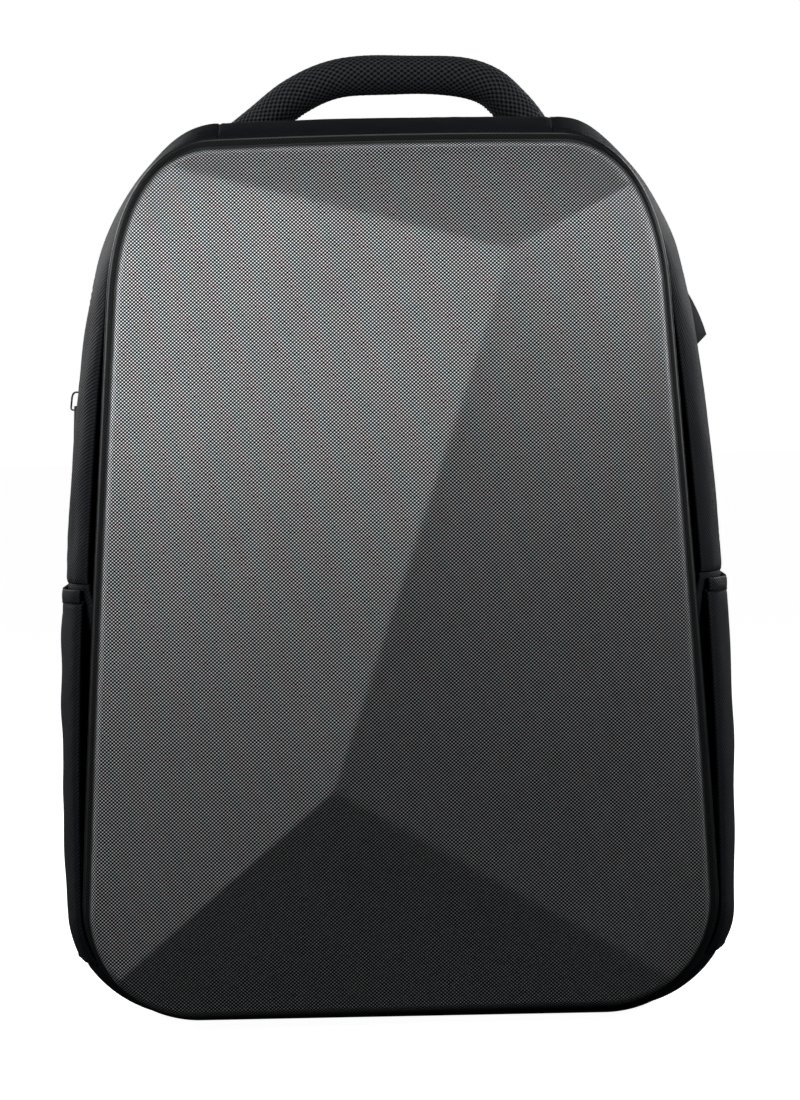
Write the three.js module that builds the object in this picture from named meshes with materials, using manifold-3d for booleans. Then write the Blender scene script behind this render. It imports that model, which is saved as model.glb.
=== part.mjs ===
// A hard shell backpack, standing on its base, in millimetres.
// X runs to the right in a front view, Y runs from the shell to the padded back, and Z is up.
// The origin is under the middle of the bag.

import * as THREE from 'three';
import { mergeVertices } from 'three/addons/utils/BufferGeometryUtils.js';
import Module from 'manifold-3d';

const wasm = await Module();
wasm.setup();

// Driving sizes of the soft body, at its widest section
const bodyWidth = 313;
const bodyHeight = 423;
const bodyDepth = 104;
const shoulderWidth = 277;
const crownWidth = 160;
const crownRise = 71;
const crownDrop = 1;
const baseCornerWidth = 58;
const baseCornerHeight = 50;

// Walls and the gap that sewn neighbours keep
const clothWall = 1.6;
const shellWall = 2.5;
const seamGap = 0.3;
const narrowestBand = 1;

// Hard shell on the front
const shellSideMargin = 12;
const shellShoulderMargin = 11.3;
const shellTopMargin = 13;
const shellBottomMargin = 6;
const shellCornerRadius = 50;
const shellEdgeDepth = 24;
const facetRise = 22;
const facetReach = 135;
const shellRound = 3.5;
const shellRoundDepth = 6;
const roundSteps = 4;
const flangeWidth = 3;
const flangeThickness = 2.2;
const flangeFillet = 0.8;
const pipingDiameter = 4;
const pipingSides = 8;
const pipingBite = 0.5;

// Where the facets' peaks lie, as shares of the shell's half width and height
const facetPeaks = {
  upper: { across: 0.391, up: 0.8725 },
  lower: { across: -0.2035, up: 0.262 },
};

// Where the creases reach the rim, counted round the outline in curves
const creaseEnds = { lowerRight: 1.44, upperRight: 3.47, upperLeft: 6.29, lowerLeft: 8.45 };

// Zip round the sides and the top
const zipDepth = 53;
const zipTapeWidth = 26;
const zipTapeThickness = 1.2;
const zipRecess = 2.2;
const teethWidth = 5;
const teethHeight = 0.9;
const sliderHeight = 292;
const sliderLength = 12;
const sliderWidth = 8;
const sliderThickness = 1.2;
const sliderHeelShare = 0.3;
const sliderShoulderShare = 0.4;
const bridgeLength = 9.4;
const bridgeHeight = 3.6;
const bridgeWidth = 2.4;
const bridgeWire = 0.8;
const bridgeFoot = { rise: 1.4, length: 2 };
const bridgeNose = { rise: 2.6, length: 3.4 };
const pullLength = 26;
const pullWidth = 7;
const pullThickness = 1.2;
const pullClearance = 0.4;
const pullWindow = 6.2;
const pullLeanIn = 4.4;

// Seams of the soft body
const topPanelWidth = 156;
const baseSeamHeight = 28;
const pocketSeamHeight = 207;

// Side pockets
const pocketHeight = 199;
const pocketHemHeight = 5;
const pocketHemThickness = 1.9;
const pocketSpace = 7.5;
const pocketMargin = 1.5;

// Padded back
const backPadThickness = 12;
const backPadRound = 7;

// Handle
const handleHeight = 34.5;
const handleSpan = 138;
const handleThickness = 19;
const handleBreadth = 26;
const handleDepth = 85;
const handleSides = 12;
const handleSteps = 26;
const handleSeatShare = 0.86;

// Cover of the port on the right side
const hoodHeight = 30;
const hoodBottom = 311.5;
const hoodReach = 7.4;
const hoodBreadth = 22;
const hoodWall = 1.3;
const hoodDepth = 82;
const hoodCut = 0.75;
const hoodSwell = { out: 0.75, up: 0.62 };
const hoodRoof = 4;

// Shoulder straps
const strapThickness = 9;
const strapWidth = 68;
const strapTop = 398;
const strapBottom = 205;
const strapTopOffset = 42;
const strapBottomInset = 50.5;
const strapLift = 16;
const strapEndLift = 0.5;
const strapSteps = 18;
const webbingWidth = 25;
const webbingThickness = 1.4;
const buckleLength = 27;
const buckleWidth = 33;
const buckleThickness = 3;
const buckleBar = 4;
const buckleAside = 3;
const buckleDrop = 2;
const anchorHeight = 42;
const anchorWidth = 44;
const anchorThickness = 2.6;
const anchorInset = 41.5;
const anchorLevel = 32;

// Shares of a bend's clearance, of a slot's height and of the buckle's length on the webbing's way
const webbingBend = { out: 0.9, rise: 0.6, leave: 1.3 };
const webbingRun = { start: 2, straight: 0.6, settle: 0.45 };
const hemShare = 0.3;
const holdShare = 0.45;
const tailShare = 1.6;
const cornerPad = 0.7;

// Depths that follow from the sizes above, counted from the shell's rim
const shellDepth = shellEdgeDepth + facetRise;
const pipingRadius = pipingDiameter / 2;
const pipingDepth = seamGap + pipingRadius;
const gussetStart = pipingDepth + pipingRadius + seamGap;
const zipFront = zipDepth - zipTapeWidth / 2;
const zipBack = zipDepth + zipTapeWidth / 2;
const backPadStart = bodyDepth + seamGap;
const backFace = backPadStart + backPadThickness;
const strapReach = seamGap + strapLift + strapThickness;
const middleDepth = (backFace + strapReach - shellDepth) / 2;
const anchorOffset = bodyWidth / 2 - anchorInset;
const strapBottomOffset = bodyWidth / 2 - strapBottomInset;

// Colours of the materials, with roughness and metalness
const finishes = {
  shell: { color: 0x4b4d51, roughness: 0.62, metalness: 0 },
  fabric: { color: 0x16171a, roughness: 0.85, metalness: 0 },
  piping: { color: 0x0d0e10, roughness: 0.45, metalness: 0 },
  mesh: { color: 0x141517, roughness: 0.9, metalness: 0 },
  webbing: { color: 0x111214, roughness: 0.8, metalness: 0 },
  plastic: { color: 0x0f1012, roughness: 0.5, metalness: 0 },
  rubber: { color: 0x17181a, roughness: 0.6, metalness: 0 },
  metal: { color: 0x3c3d40, roughness: 0.35, metalness: 0.9 },
  teeth: { color: 0x121315, roughness: 0.4, metalness: 0 },
};

// The middle of the whole bag is at y = 0
function yAt(depth) {
  return depth - middleDepth;
}

function mix(a, b, share) {
  return a + (b - a) * share;
}

// Closed body through rings of points. Without caps the last ring joins the first.
function solidFromRings(rings, startCap, endCap) {
  const count = rings[0].length;
  const points = rings.flat();
  const faces = [];
  const loops = startCap ? rings.length - 1 : rings.length;
  for (let row = 0; row < loops; row += 1) {
    const here = row * count;
    const there = ((row + 1) % rings.length) * count;
    for (let i = 0; i < count; i += 1) {
      const next = (i + 1) % count;
      faces.push([here + i, there + i, there + next]);
      faces.push([here + i, there + next, here + next]);
    }
  }
  const addCap = (cap, first, reversed) => {
    const { extra, triangles } = cap(points.slice(first, first + count));
    const start = points.length;
    points.push(...extra);
    for (const triangle of triangles) {
      const face = triangle.map((i) => (i < count ? first + i : start + i - count));
      faces.push(reversed ? face.reverse() : face);
    }
  };
  if (startCap) {
    addCap(startCap, 0, false);
    addCap(endCap, (rings.length - 1) * count, true);
  }
  return facingOut(points, faces);
}

// Geometry with its faces turned outwards
function facingOut(points, faces) {
  let volume = 0;
  for (const [a, b, c] of faces) {
    volume += points[a].dot(points[b].clone().cross(points[c]));
  }
  const index = volume < 0 ? faces.map(([a, b, c]) => [a, c, b]) : faces;
  const geometry = new THREE.BufferGeometry().setFromPoints(points);
  geometry.setIndex(index.flat());
  geometry.computeVertexNormals();
  return geometry;
}

// Cap of a rounded section: triangles round its middle
function fanCap(ring) {
  const middle = new THREE.Vector3();
  ring.forEach((point) => middle.add(point));
  middle.divideScalar(ring.length);
  const count = ring.length;
  const triangles = ring.map((_, i) => [i, (i + 1) % count, count]);
  return { extra: [middle], triangles };
}

// Cap of a wall's section, whose first half is one side and whose second half is the other
function wallCap(ring) {
  const triangles = [];
  const last = ring.length - 1;
  for (let i = 0; i < ring.length / 2 - 1; i += 1) {
    triangles.push([i, i + 1, last - i - 1]);
    triangles.push([i, last - i - 1, last - i]);
  }
  return { extra: [], triangles };
}

// Outline of the bag in a front view, as five curves up its right half. A place on it is
// counted in curves: 0 is the middle of the bottom, 5 the middle of the top, 10 the bottom again.
class Outline {
  constructor(size) {
    const footHalf = size.lowHalf - size.cornerWidth;
    const sideStart = size.bottom + size.cornerHeight;
    const sideLength = size.shoulderHeight - sideStart;
    const crownHeight = size.crest - size.crownDrop;
    const crownLength = crownHeight - size.shoulderHeight;
    const crownCorner = size.shoulderHalf - size.shoulderLean * crownLength;
    const lowHandle = sideLength * size.lowHandle;
    const highHandle = sideLength * size.highHandle;
    const lowEnd = new THREE.Vector2(size.lowHalf, sideStart);
    const shoulder = new THREE.Vector2(size.shoulderHalf, size.shoulderHeight);
    const crown = new THREE.Vector2(size.crownHalf, crownHeight);
    const quarter = Math.PI / 2;
    this.curves = [
      new THREE.LineCurve(new THREE.Vector2(0, size.bottom), new THREE.Vector2(footHalf, size.bottom)),
      new THREE.EllipseCurve(footHalf, sideStart, size.cornerWidth, size.cornerHeight, -quarter, 0),
      new THREE.CubicBezierCurve(
        lowEnd,
        new THREE.Vector2(size.lowHalf - size.lowLean * lowHandle, sideStart + lowHandle),
        new THREE.Vector2(size.shoulderHalf + size.shoulderLean * highHandle, size.shoulderHeight - highHandle),
        shoulder,
      ),
      new THREE.CubicBezierCurve(
        shoulder,
        new THREE.Vector2(
          mix(size.shoulderHalf, crownCorner, size.cornerPull),
          mix(size.shoulderHeight, crownHeight, size.cornerPull),
        ),
        new THREE.Vector2(mix(size.crownHalf, crownCorner, size.cornerPull), crownHeight),
        crown,
      ),
      new THREE.QuadraticBezierCurve(
        crown,
        new THREE.Vector2(size.crownHalf / 2, size.crest),
        new THREE.Vector2(0, size.crest),
      ),
    ];
  }

  // Point and outward normal at a place, moved in along the normal by inset
  at(place, inset = 0) {
    const round = ((place % 10) + 10) % 10;
    const right = round <= 5;
    const along = right ? round : 10 - round;
    const piece = Math.min(Math.floor(along), 4);
    const point = this.curves[piece].getPoint(along - piece);
    const tangent = this.curves[piece].getTangent(along - piece);
    const side = right ? 1 : -1;
    const normal = new THREE.Vector2(tangent.y * side, -tangent.x);
    return { x: point.x * side - normal.x * inset, z: point.y - normal.y * inset, normal };
  }

  // Place on the right half where the outline reaches a height
  atHeight(height) {
    return bisect(1, 4, (place) => this.at(place).z - height);
  }

  // Place on the right half of the top at a distance from the middle
  atOffset(offset) {
    return bisect(3, 5, (place) => offset - this.at(place).x);
  }
}

function bisect(low, high, rising) {
  let from = low;
  let to = high;
  for (let turn = 0; turn < 40; turn += 1) {
    const middle = (from + to) / 2;
    if (rising(middle) < 0) {
      from = middle;
    } else {
      to = middle;
    }
  }
  return (from + to) / 2;
}

const bodySize = {
  bottom: 0,
  crest: bodyHeight,
  lowHalf: bodyWidth / 2,
  cornerWidth: baseCornerWidth,
  cornerHeight: baseCornerHeight,
  shoulderHalf: shoulderWidth / 2,
  shoulderHeight: bodyHeight - crownRise,
  crownHalf: crownWidth / 2,
  crownDrop,
  lowLean: -0.05,
  shoulderLean: 0.24,
  lowHandle: 0.33,
  highHandle: 0.2,
  cornerPull: 0.5,
};

const shellSize = {
  ...bodySize,
  bottom: shellBottomMargin,
  crest: bodyHeight - shellTopMargin,
  lowHalf: bodyWidth / 2 - shellSideMargin,
  cornerWidth: shellCornerRadius,
  cornerHeight: shellCornerRadius,
  shoulderHalf: shoulderWidth / 2 - shellShoulderMargin,
  shoulderHeight: bodyHeight - crownRise - shellTopMargin,
  lowLean: 0.045,
  shoulderLean: 0.07,
  highHandle: 0.33,
  cornerPull: 0.62,
};

// Outline between the shell's, at spread 0, and the body's, at spread 1
function outlineAt(spread) {
  const size = {};
  for (const key of Object.keys(bodySize)) {
    size[key] = mix(shellSize[key], bodySize[key], spread);
  }
  return new Outline(size);
}

const shellOutline = outlineAt(0);
const bodyOutline = outlineAt(1);

// How the soft body swells behind the shell and closes at the back. Depth is a share of the
// body's depth, and inset is in millimetres.
const bodyProfile = [
  { depth: 0, spread: 0.24, inset: 0 },
  { depth: 0.13, spread: 0.72, inset: 0 },
  { depth: 0.25, spread: 0.94, inset: 0 },
  { depth: 0.38, spread: 1, inset: 0 },
  { depth: 0.64, spread: 1, inset: 0 },
  { depth: 0.86, spread: 1, inset: 0.4 },
  { depth: 1, spread: 1, inset: 4 },
];

function bodySection(depth) {
  const share = THREE.MathUtils.clamp(depth / bodyDepth, 0, 1);
  const after = Math.max(1, bodyProfile.findIndex((row) => row.depth >= share));
  const a = bodyProfile[after - 1];
  const b = bodyProfile[after];
  const between = (share - a.depth) / (b.depth - a.depth);
  return { depth, outline: outlineAt(mix(a.spread, b.spread, between)), inset: mix(a.inset, b.inset, between) };
}

// The profile's sections between two depths, with both ends
function sectionsBetween(from, to) {
  const inner = bodyProfile
    .map((row) => row.depth * bodyDepth)
    .filter((depth) => depth > from + narrowestBand && depth < to - narrowestBand);
  return [from, ...inner, to].map(bodySection);
}

// Soft dents and folds in the cloth. Each is a bell: its middle, its size and how far it
// moves the cloth out. Height and offset are shares of the body's height and half width.
const clothDents = [
  { offset: 0.6, height: 0.99, depth: 0.3, size: 9, out: 0.5 },
  { offset: 0.7, height: 0.965, depth: 0.3, size: 7, out: -0.5 },
  { offset: -0.62, height: 0.985, depth: 0.35, size: 9, out: 0.4 },
  { offset: 0.99, height: 0.37, depth: 0.45, size: 16, out: -1.2 },
  { offset: 0.99, height: 0.31, depth: 0.6, size: 14, out: 0.8 },
  { offset: -0.99, height: 0.28, depth: 0.45, size: 20, out: -1 },
];

function dentAt(point) {
  let out = 0;
  for (const dent of clothDents) {
    const dx = point.x - dent.offset * (bodyWidth / 2);
    const dy = point.y - yAt(dent.depth * bodyDepth);
    const dz = point.z - dent.height * bodyHeight;
    out += dent.out * Math.exp(-(dx * dx + dy * dy + dz * dz) / (dent.size * dent.size));
  }
  return out;
}

// Steps round the outline for each of its five curves
const stepsPerCurve = [2, 6, 6, 7, 3];

// A step this short beside a mark is left out
const shortestStep = 0.06;

// Places between two marks. They are chosen on the body's outline, so that each section of a
// panel has as many, and are stretched to the marks of the section's own outline.
function placesBetween(from, to, outline) {
  const start = from(bodyOutline);
  const end = to(bodyOutline);
  const inner = [];
  for (let curve = Math.floor(start); curve < end; curve += 1) {
    const round = ((curve % 10) + 10) % 10;
    const steps = stepsPerCurve[round < 5 ? round : 9 - round];
    for (let step = 0; step < steps; step += 1) {
      inner.push(curve + step / steps);
    }
  }
  const kept = inner.filter((place) => place > start + shortestStep && place < end - shortestStep);
  const first = from(outline);
  const last = to(outline);
  return [start, ...kept, end].map((place) => mix(first, last, (place - start) / (end - start)));
}

const marks = {
  rightHeight: (height) => (outline) => outline.atHeight(height),
  leftHeight: (height) => (outline) => 10 - outline.atHeight(height),
  leftHeightBelow: (height) => (outline) => -outline.atHeight(height),
  rightTop: (offset) => (outline) => outline.atOffset(offset),
  leftTop: (offset) => (outline) => 10 - outline.atOffset(offset),
};

// A panel of the soft body between two marks and two depths. Raise lifts it off the body's
// surface, and raiseAt adds to that along the panel, from 0 at its start to 1 at its end.
function panel({ from, to, depthFrom, depthTo, thickness, raise = 0, raiseAt = () => 0, dents = true }) {
  const rings = sectionsBetween(depthFrom, depthTo).map((section) => {
    const places = placesBetween(from, to, section.outline);
    const side = (extra) => places.map((place, i) => {
      const share = i / (places.length - 1);
      const lift = raise + raiseAt(share) - extra - section.inset;
      const onBody = section.outline.at(place, section.inset);
      const body = new THREE.Vector3(onBody.x, yAt(section.depth), onBody.z);
      const at = section.outline.at(place, -lift - (dents ? dentAt(body) : 0));
      return new THREE.Vector3(at.x, yAt(section.depth), at.z);
    });
    return [...side(0), ...side(thickness).reverse()];
  });
  return solidFromRings(rings, wallCap, wallCap);
}

// Tube round a whole outline
function ringTube(outline, inset, depth, radius, sides) {
  const stops = placesBetween(() => 0, () => 10, outline).slice(0, -1);
  const rings = stops.map((place) => {
    const middle = outline.at(place, inset);
    const ring = [];
    for (let i = 0; i < sides; i += 1) {
      const angle = (i / sides) * 2 * Math.PI;
      const out = Math.cos(angle) * radius;
      ring.push(new THREE.Vector3(
        middle.x + middle.normal.x * out,
        yAt(depth) + Math.sin(angle) * radius,
        middle.z + middle.normal.y * out,
      ));
    }
    return ring;
  });
  return solidFromRings(rings);
}

// Manifold solid of a three.js geometry, and back again
function toManifold(geometry) {
  const bare = geometry.clone();
  bare.deleteAttribute('normal');
  if (bare.getAttribute('uv')) {
    bare.deleteAttribute('uv');
  }
  const merged = mergeVertices(bare, 1e-4);
  return new wasm.Manifold(new wasm.Mesh({
    numProp: 3,
    vertProperties: new Float32Array(merged.getAttribute('position').array),
    triVerts: new Uint32Array(merged.index.array),
  }));
}

function fromManifold(solid) {
  const mesh = solid.getMesh();
  const geometry = new THREE.BufferGeometry();
  geometry.setAttribute('position', new THREE.BufferAttribute(mesh.vertProperties, 3));
  geometry.setIndex(new THREE.BufferAttribute(mesh.triVerts, 1));
  geometry.computeVertexNormals();
  return geometry;
}

const bag = new THREE.Group();

function addPiece(name, geometry, finish, parent = bag) {
  const mesh = new THREE.Mesh(geometry, new THREE.MeshStandardMaterial(finishes[finish]));
  mesh.name = name;
  parent.add(mesh);
  return mesh;
}

// Front shell: a faceted, hollow pressing with a rounded edge, a skirt and a sewn flange
function peakPoint(peak, wall) {
  const height = shellSize.crest - shellSize.bottom;
  return new THREE.Vector3(
    peak.across * shellSize.lowHalf,
    yAt(wall - shellDepth),
    shellSize.bottom + peak.up * height,
  );
}

// Share of each long facet's rim that is joined to the lower peak
const lowerPeakShare = 0.45;

// The two long facets are planes that fall evenly away from the ridge between the peaks
function ridgeDepth(x, z) {
  const upper = peakPoint(facetPeaks.upper, 0);
  const lower = peakPoint(facetPeaks.lower, 0);
  const along = new THREE.Vector2(upper.x - lower.x, upper.z - lower.z).normalize();
  const distance = Math.abs((x - lower.x) * along.y - (z - lower.z) * along.x);
  return facetRise * (distance / facetReach) - shellDepth;
}

// The top and bottom facets are planes through a peak and the ends of its two creases
function endFacetDepth(peak, firstEnd, secondEnd) {
  const corners = [firstEnd, secondEnd].map((place) => {
    const at = shellOutline.at(place, shellRound);
    return new THREE.Vector3(at.x, ridgeDepth(at.x, at.z), at.z);
  });
  const top = peakPoint(peak, 0);
  top.y = -shellDepth;
  const plane = new THREE.Plane().setFromCoplanarPoints(top, ...corners);
  return (x, z) => -(plane.constant + plane.normal.x * x + plane.normal.z * z) / plane.normal.y;
}

function makeFrontShell() {
  const ends = creaseEnds;
  const topFacet = endFacetDepth(facetPeaks.upper, ends.upperRight, ends.upperLeft);
  const bottomFacet = endFacetDepth(facetPeaks.lower, ends.lowerLeft, ends.lowerRight);
  const runs = [
    [ends.lowerRight, ends.upperRight],
    [ends.upperRight, ends.upperLeft],
    [ends.upperLeft, ends.lowerLeft],
    [ends.lowerLeft, ends.lowerRight + 10],
  ];
  const stops = [];
  const corners = [];
  for (const [from, to] of runs) {
    corners.push(stops.length);
    stops.push(...placesBetween(() => from, () => to, shellOutline).slice(0, -1));
  }
  const edgeDepths = stops.map((place) => {
    const { x, z } = shellOutline.at(place, shellRound);
    return Math.max(ridgeDepth(x, z), topFacet(x, z), bottomFacet(x, z));
  });

  // The rounded edge: a quarter of an ellipse between the face and the skirt
  const ring = (insetAt, depthAt) => stops.map((place, i) => {
    const at = shellOutline.at(place, insetAt);
    return new THREE.Vector3(at.x, yAt(depthAt(edgeDepths[i])), at.z);
  });
  const edgeRings = (wall) => {
    const rings = [];
    for (let step = 0; step <= roundSteps; step += 1) {
      const angle = (step / roundSteps) * (Math.PI / 2);
      const inset = wall + (shellRound - wall / 2) * (1 - Math.sin(angle));
      const drop = shellRoundDepth * (1 - Math.cos(angle));
      rings.push(ring(inset, (edge) => edge + wall + drop));
    }
    return rings;
  };
  const outer = [
    ...edgeRings(0),
    ring(0, () => -flangeThickness - flangeFillet),
    ring(-flangeWidth, () => -flangeThickness),
    ring(-flangeWidth, () => 0),
  ];
  const inner = [ring(shellWall, () => 0), ...edgeRings(shellWall).reverse()];
  const facets = (wall) => (points) => {
    const count = points.length;
    const extra = [peakPoint(facetPeaks.upper, wall), peakPoint(facetPeaks.lower, wall)];
    const upper = count;
    const lower = count + 1;
    const triangles = [];
    const fan = (from, to, peak) => {
      for (let i = from; i < to; i += 1) {
        triangles.push([i % count, (i + 1) % count, peak]);
      }
    };
    const turnRight = Math.round(mix(corners[0], corners[1], lowerPeakShare));
    const turnLeft = Math.round(mix(corners[2], corners[3], 1 - lowerPeakShare));
    fan(corners[0], turnRight, lower);
    triangles.push([turnRight, upper, lower]);
    fan(turnRight, corners[1], upper);
    fan(corners[1], corners[2], upper);
    fan(corners[2], turnLeft, upper);
    triangles.push([turnLeft, lower, upper]);
    fan(turnLeft, corners[3], lower);
    fan(corners[3], count, lower);
    return { extra, triangles };
  };
  return solidFromRings([...outer, ...inner], facets(0), facets(shellWall));
}

addPiece('front_shell', makeFrontShell(), 'shell');

// Piping round the flange
addPiece('shell_piping', ringTube(shellOutline, pipingBite - flangeWidth, pipingDepth, pipingRadius, pipingSides), 'piping');

// Soft body: gussets, the panel under the handle, the side panels and the base
const halfGap = seamGap / 2;
const topHalf = topPanelWidth / 2;
const seamTop = pocketSeamHeight + halfGap;
const frontCloth = { depthFrom: gussetStart, depthTo: zipFront - seamGap, thickness: clothWall };

addPiece('front_gusset_right', panel({
  ...frontCloth,
  from: marks.rightHeight(seamTop),
  to: marks.rightTop(topHalf + halfGap),
}), 'fabric');

addPiece('top_panel', panel({
  ...frontCloth,
  from: marks.rightTop(topHalf - halfGap),
  to: marks.leftTop(topHalf - halfGap),
}), 'fabric');

addPiece('front_gusset_left', panel({
  ...frontCloth,
  from: marks.leftTop(topHalf + halfGap),
  to: marks.leftHeight(seamTop),
}), 'fabric');

addPiece('zip_tape', panel({
  from: marks.rightHeight(seamTop),
  to: marks.leftHeight(seamTop),
  depthFrom: zipFront,
  depthTo: zipBack,
  thickness: zipTapeThickness,
  raise: -zipRecess,
  dents: false,
}), 'webbing');

addPiece('zip_teeth', panel({
  from: marks.rightHeight(seamTop),
  to: marks.leftHeight(seamTop),
  depthFrom: zipDepth - teethWidth / 2,
  depthTo: zipDepth + teethWidth / 2,
  thickness: teethHeight,
  raise: teethHeight + seamGap - zipRecess,
  dents: false,
}), 'teeth');

addPiece('rear_gusset', panel({
  from: marks.rightHeight(seamTop),
  to: marks.leftHeight(seamTop),
  depthFrom: zipBack + seamGap,
  depthTo: bodyDepth,
  thickness: clothWall,
}), 'fabric');

addPiece('base_panel', panel({
  from: marks.leftHeightBelow(baseSeamHeight - halfGap),
  to: marks.rightHeight(baseSeamHeight - halfGap),
  depthFrom: gussetStart,
  depthTo: bodyDepth,
  thickness: 2 * clothWall,
}), 'fabric');

// The side panel goes in behind the pocket, so that the pocket stands open. The share runs
// from the base seam to the pocket's seam.
const sidePanelDip = [
  { share: 0, dip: 0 },
  { share: 0.2, dip: 1 },
  { share: 0.86, dip: 1 },
  { share: 0.97, dip: 0.3 },
  { share: 1, dip: 0 },
];

function dipAt(share) {
  const after = Math.max(1, sidePanelDip.findIndex((row) => row.share >= share));
  const a = sidePanelDip[after - 1];
  const b = sidePanelDip[after];
  return -pocketSpace * mix(a.dip, b.dip, (share - a.share) / (b.share - a.share));
}

const sides = [
  { name: 'right', mark: marks.rightHeight, turn: false },
  { name: 'left', mark: marks.leftHeight, turn: true },
];

for (const side of sides) {
  const between = (low, high) => {
    const ends = [side.mark(low), side.mark(high)];
    return side.turn ? { from: ends[1], to: ends[0] } : { from: ends[0], to: ends[1] };
  };
  const along = (share) => (side.turn ? 1 - share : share);
  addPiece(`side_panel_${side.name}`, panel({
    ...between(baseSeamHeight + halfGap, pocketSeamHeight - halfGap),
    depthFrom: gussetStart,
    depthTo: bodyDepth,
    thickness: clothWall,
    raiseAt: (share) => dipAt(along(share)),
  }), 'fabric');
  addPiece(`side_pocket_${side.name}`, panel({
    ...between(baseSeamHeight + halfGap, pocketHeight - halfGap),
    depthFrom: gussetStart + pocketMargin,
    depthTo: bodyDepth - pocketMargin,
    thickness: clothWall,
    raise: clothWall + seamGap,
  }), 'fabric');
  addPiece(`pocket_hem_${side.name}`, panel({
    ...between(pocketHeight + halfGap, pocketHeight + pocketHemHeight),
    depthFrom: gussetStart + pocketMargin,
    depthTo: bodyDepth - pocketMargin,
    thickness: pocketHemThickness,
    raise: pocketHemThickness + seamGap,
  }), 'fabric');
}

// Back panel: one padded plate with a rounded edge
const backSection = bodySection(bodyDepth);

function backRing(inset, depth) {
  const stops = placesBetween(() => 0, () => 10, backSection.outline).slice(0, -1);
  return stops.map((place) => {
    const at = backSection.outline.at(place, backSection.inset + inset);
    return new THREE.Vector3(at.x, yAt(depth), at.z);
  });
}

// Rounding of the pad's edge, as shares of its round and its thickness
const backPadEdge = [
  { inset: 0.2, depth: 0 },
  { inset: 0, depth: 0.3 },
  { inset: 0.25, depth: 0.7 },
  { inset: 1, depth: 1 },
];

addPiece('back_panel', solidFromRings(
  backPadEdge.map((row) => backRing(row.inset * backPadRound, backPadStart + row.depth * backPadThickness)),
  fanCap,
  fanCap,
), 'mesh');

// Sections square to a curve. Width and thickness are full sizes, and across is the
// direction of the width before it is made square to the curve.
function bandRings(curve, steps, across, sizeAt, corner) {
  const rings = [];
  for (let step = 0; step <= steps; step += 1) {
    const share = step / steps;
    const middle = curve.getPointAt(share);
    const tangent = curve.getTangentAt(share);
    const side = across.clone().addScaledVector(tangent, -across.dot(tangent)).normalize();
    const up = side.clone().cross(tangent);
    const { width, thickness } = sizeAt(share);
    rings.push(corner(width / 2, thickness / 2).map(([a, b]) => middle.clone()
      .addScaledVector(side, a)
      .addScaledVector(up, b)));
  }
  return rings;
}

function ovalSection(sidesCount) {
  return (halfWidth, halfThickness) => {
    const ring = [];
    for (let i = 0; i < sidesCount; i += 1) {
      const angle = (i / sidesCount) * 2 * Math.PI;
      ring.push([Math.cos(angle) * halfWidth, Math.sin(angle) * halfThickness]);
    }
    return ring;
  };
}

function flatSection(halfWidth, halfThickness) {
  return [
    [halfWidth, -halfThickness],
    [halfWidth, halfThickness],
    [-halfWidth, halfThickness],
    [-halfWidth, -halfThickness],
  ];
}

// A pad's section: flat faces with a half round at each side
function padSection(halfWidth, halfThickness) {
  const flat = halfWidth - halfThickness;
  const slant = halfThickness * cornerPad;
  return [
    [halfWidth, 0],
    [flat + slant, slant],
    [flat, halfThickness],
    [-flat, halfThickness],
    [-flat - slant, slant],
    [-halfWidth, 0],
    [-flat - slant, -slant],
    [-flat, -halfThickness],
    [flat, -halfThickness],
    [flat + slant, -slant],
  ];
}

// Handle: a padded tube arched over the top. Along is a share of half its span, and up is a
// share of its height over the body.
const handleRoute = [
  { along: -1.3, up: -0.65 },
  { along: -0.89, up: -0.02 },
  { along: -0.62, up: 0.39 },
  { along: -0.34, up: 0.62 },
  { along: 0.1, up: 0.66 },
  { along: 0.56, up: 0.6 },
  { along: 0.74, up: 0.46 },
  { along: 0.87, up: 0.22 },
  { along: 0.97, up: -0.02 },
  { along: 1.15, up: -0.6 },
];

function makeHandle() {
  const route = new THREE.CatmullRomCurve3(handleRoute.map((row) => new THREE.Vector3(
    row.along * (handleSpan / 2),
    yAt(handleDepth),
    bodyHeight + row.up * handleHeight,
  )));
  const size = () => ({ width: handleBreadth, thickness: handleThickness });
  const tube = solidFromRings(
    bandRings(route, handleSteps, new THREE.Vector3(0, 1, 0), size, ovalSection(handleSides)),
    fanCap,
    fanCap,
  );
  // The feet end on the body's surface
  const reach = handleBreadth;
  const filled = [handleDepth - reach, handleDepth + reach].map((depth) => {
    const outline = bodySection(Math.min(depth, bodyDepth * handleSeatShare)).outline;
    const stops = placesBetween(() => 0, () => 10, outline).slice(0, -1);
    return stops.map((place) => {
      const at = outline.at(place, -seamGap);
      return new THREE.Vector3(at.x, yAt(depth), at.z);
    });
  });
  const body = toManifold(solidFromRings(filled, fanCap, fanCap));
  return fromManifold(toManifold(tube).subtract(body));
}

addPiece('handle', makeHandle(), 'mesh');

// Frame on the body's side at a height and depth: x points out, z up along the side
function sideFrame(height, depth, left) {
  const section = bodySection(depth);
  const at = section.outline.at(section.outline.atHeight(height), section.inset);
  const frame = new THREE.Group();
  const lean = Math.atan2(at.normal.y, at.normal.x);
  frame.position.set(left ? -at.x : at.x, yAt(depth), at.z);
  frame.rotation.set(0, left ? lean : -lean, left ? Math.PI : 0);
  bag.add(frame);
  return frame;
}

// A flat shape drawn in x and z, pushed evenly both ways along y
function plateAcross(shape, breadth, curveSegments = 6) {
  const geometry = new THREE.ExtrudeGeometry(shape, { depth: breadth, bevelEnabled: false, curveSegments });
  geometry.translate(0, 0, -breadth / 2);
  geometry.rotateX(Math.PI / 2);
  return geometry;
}

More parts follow.
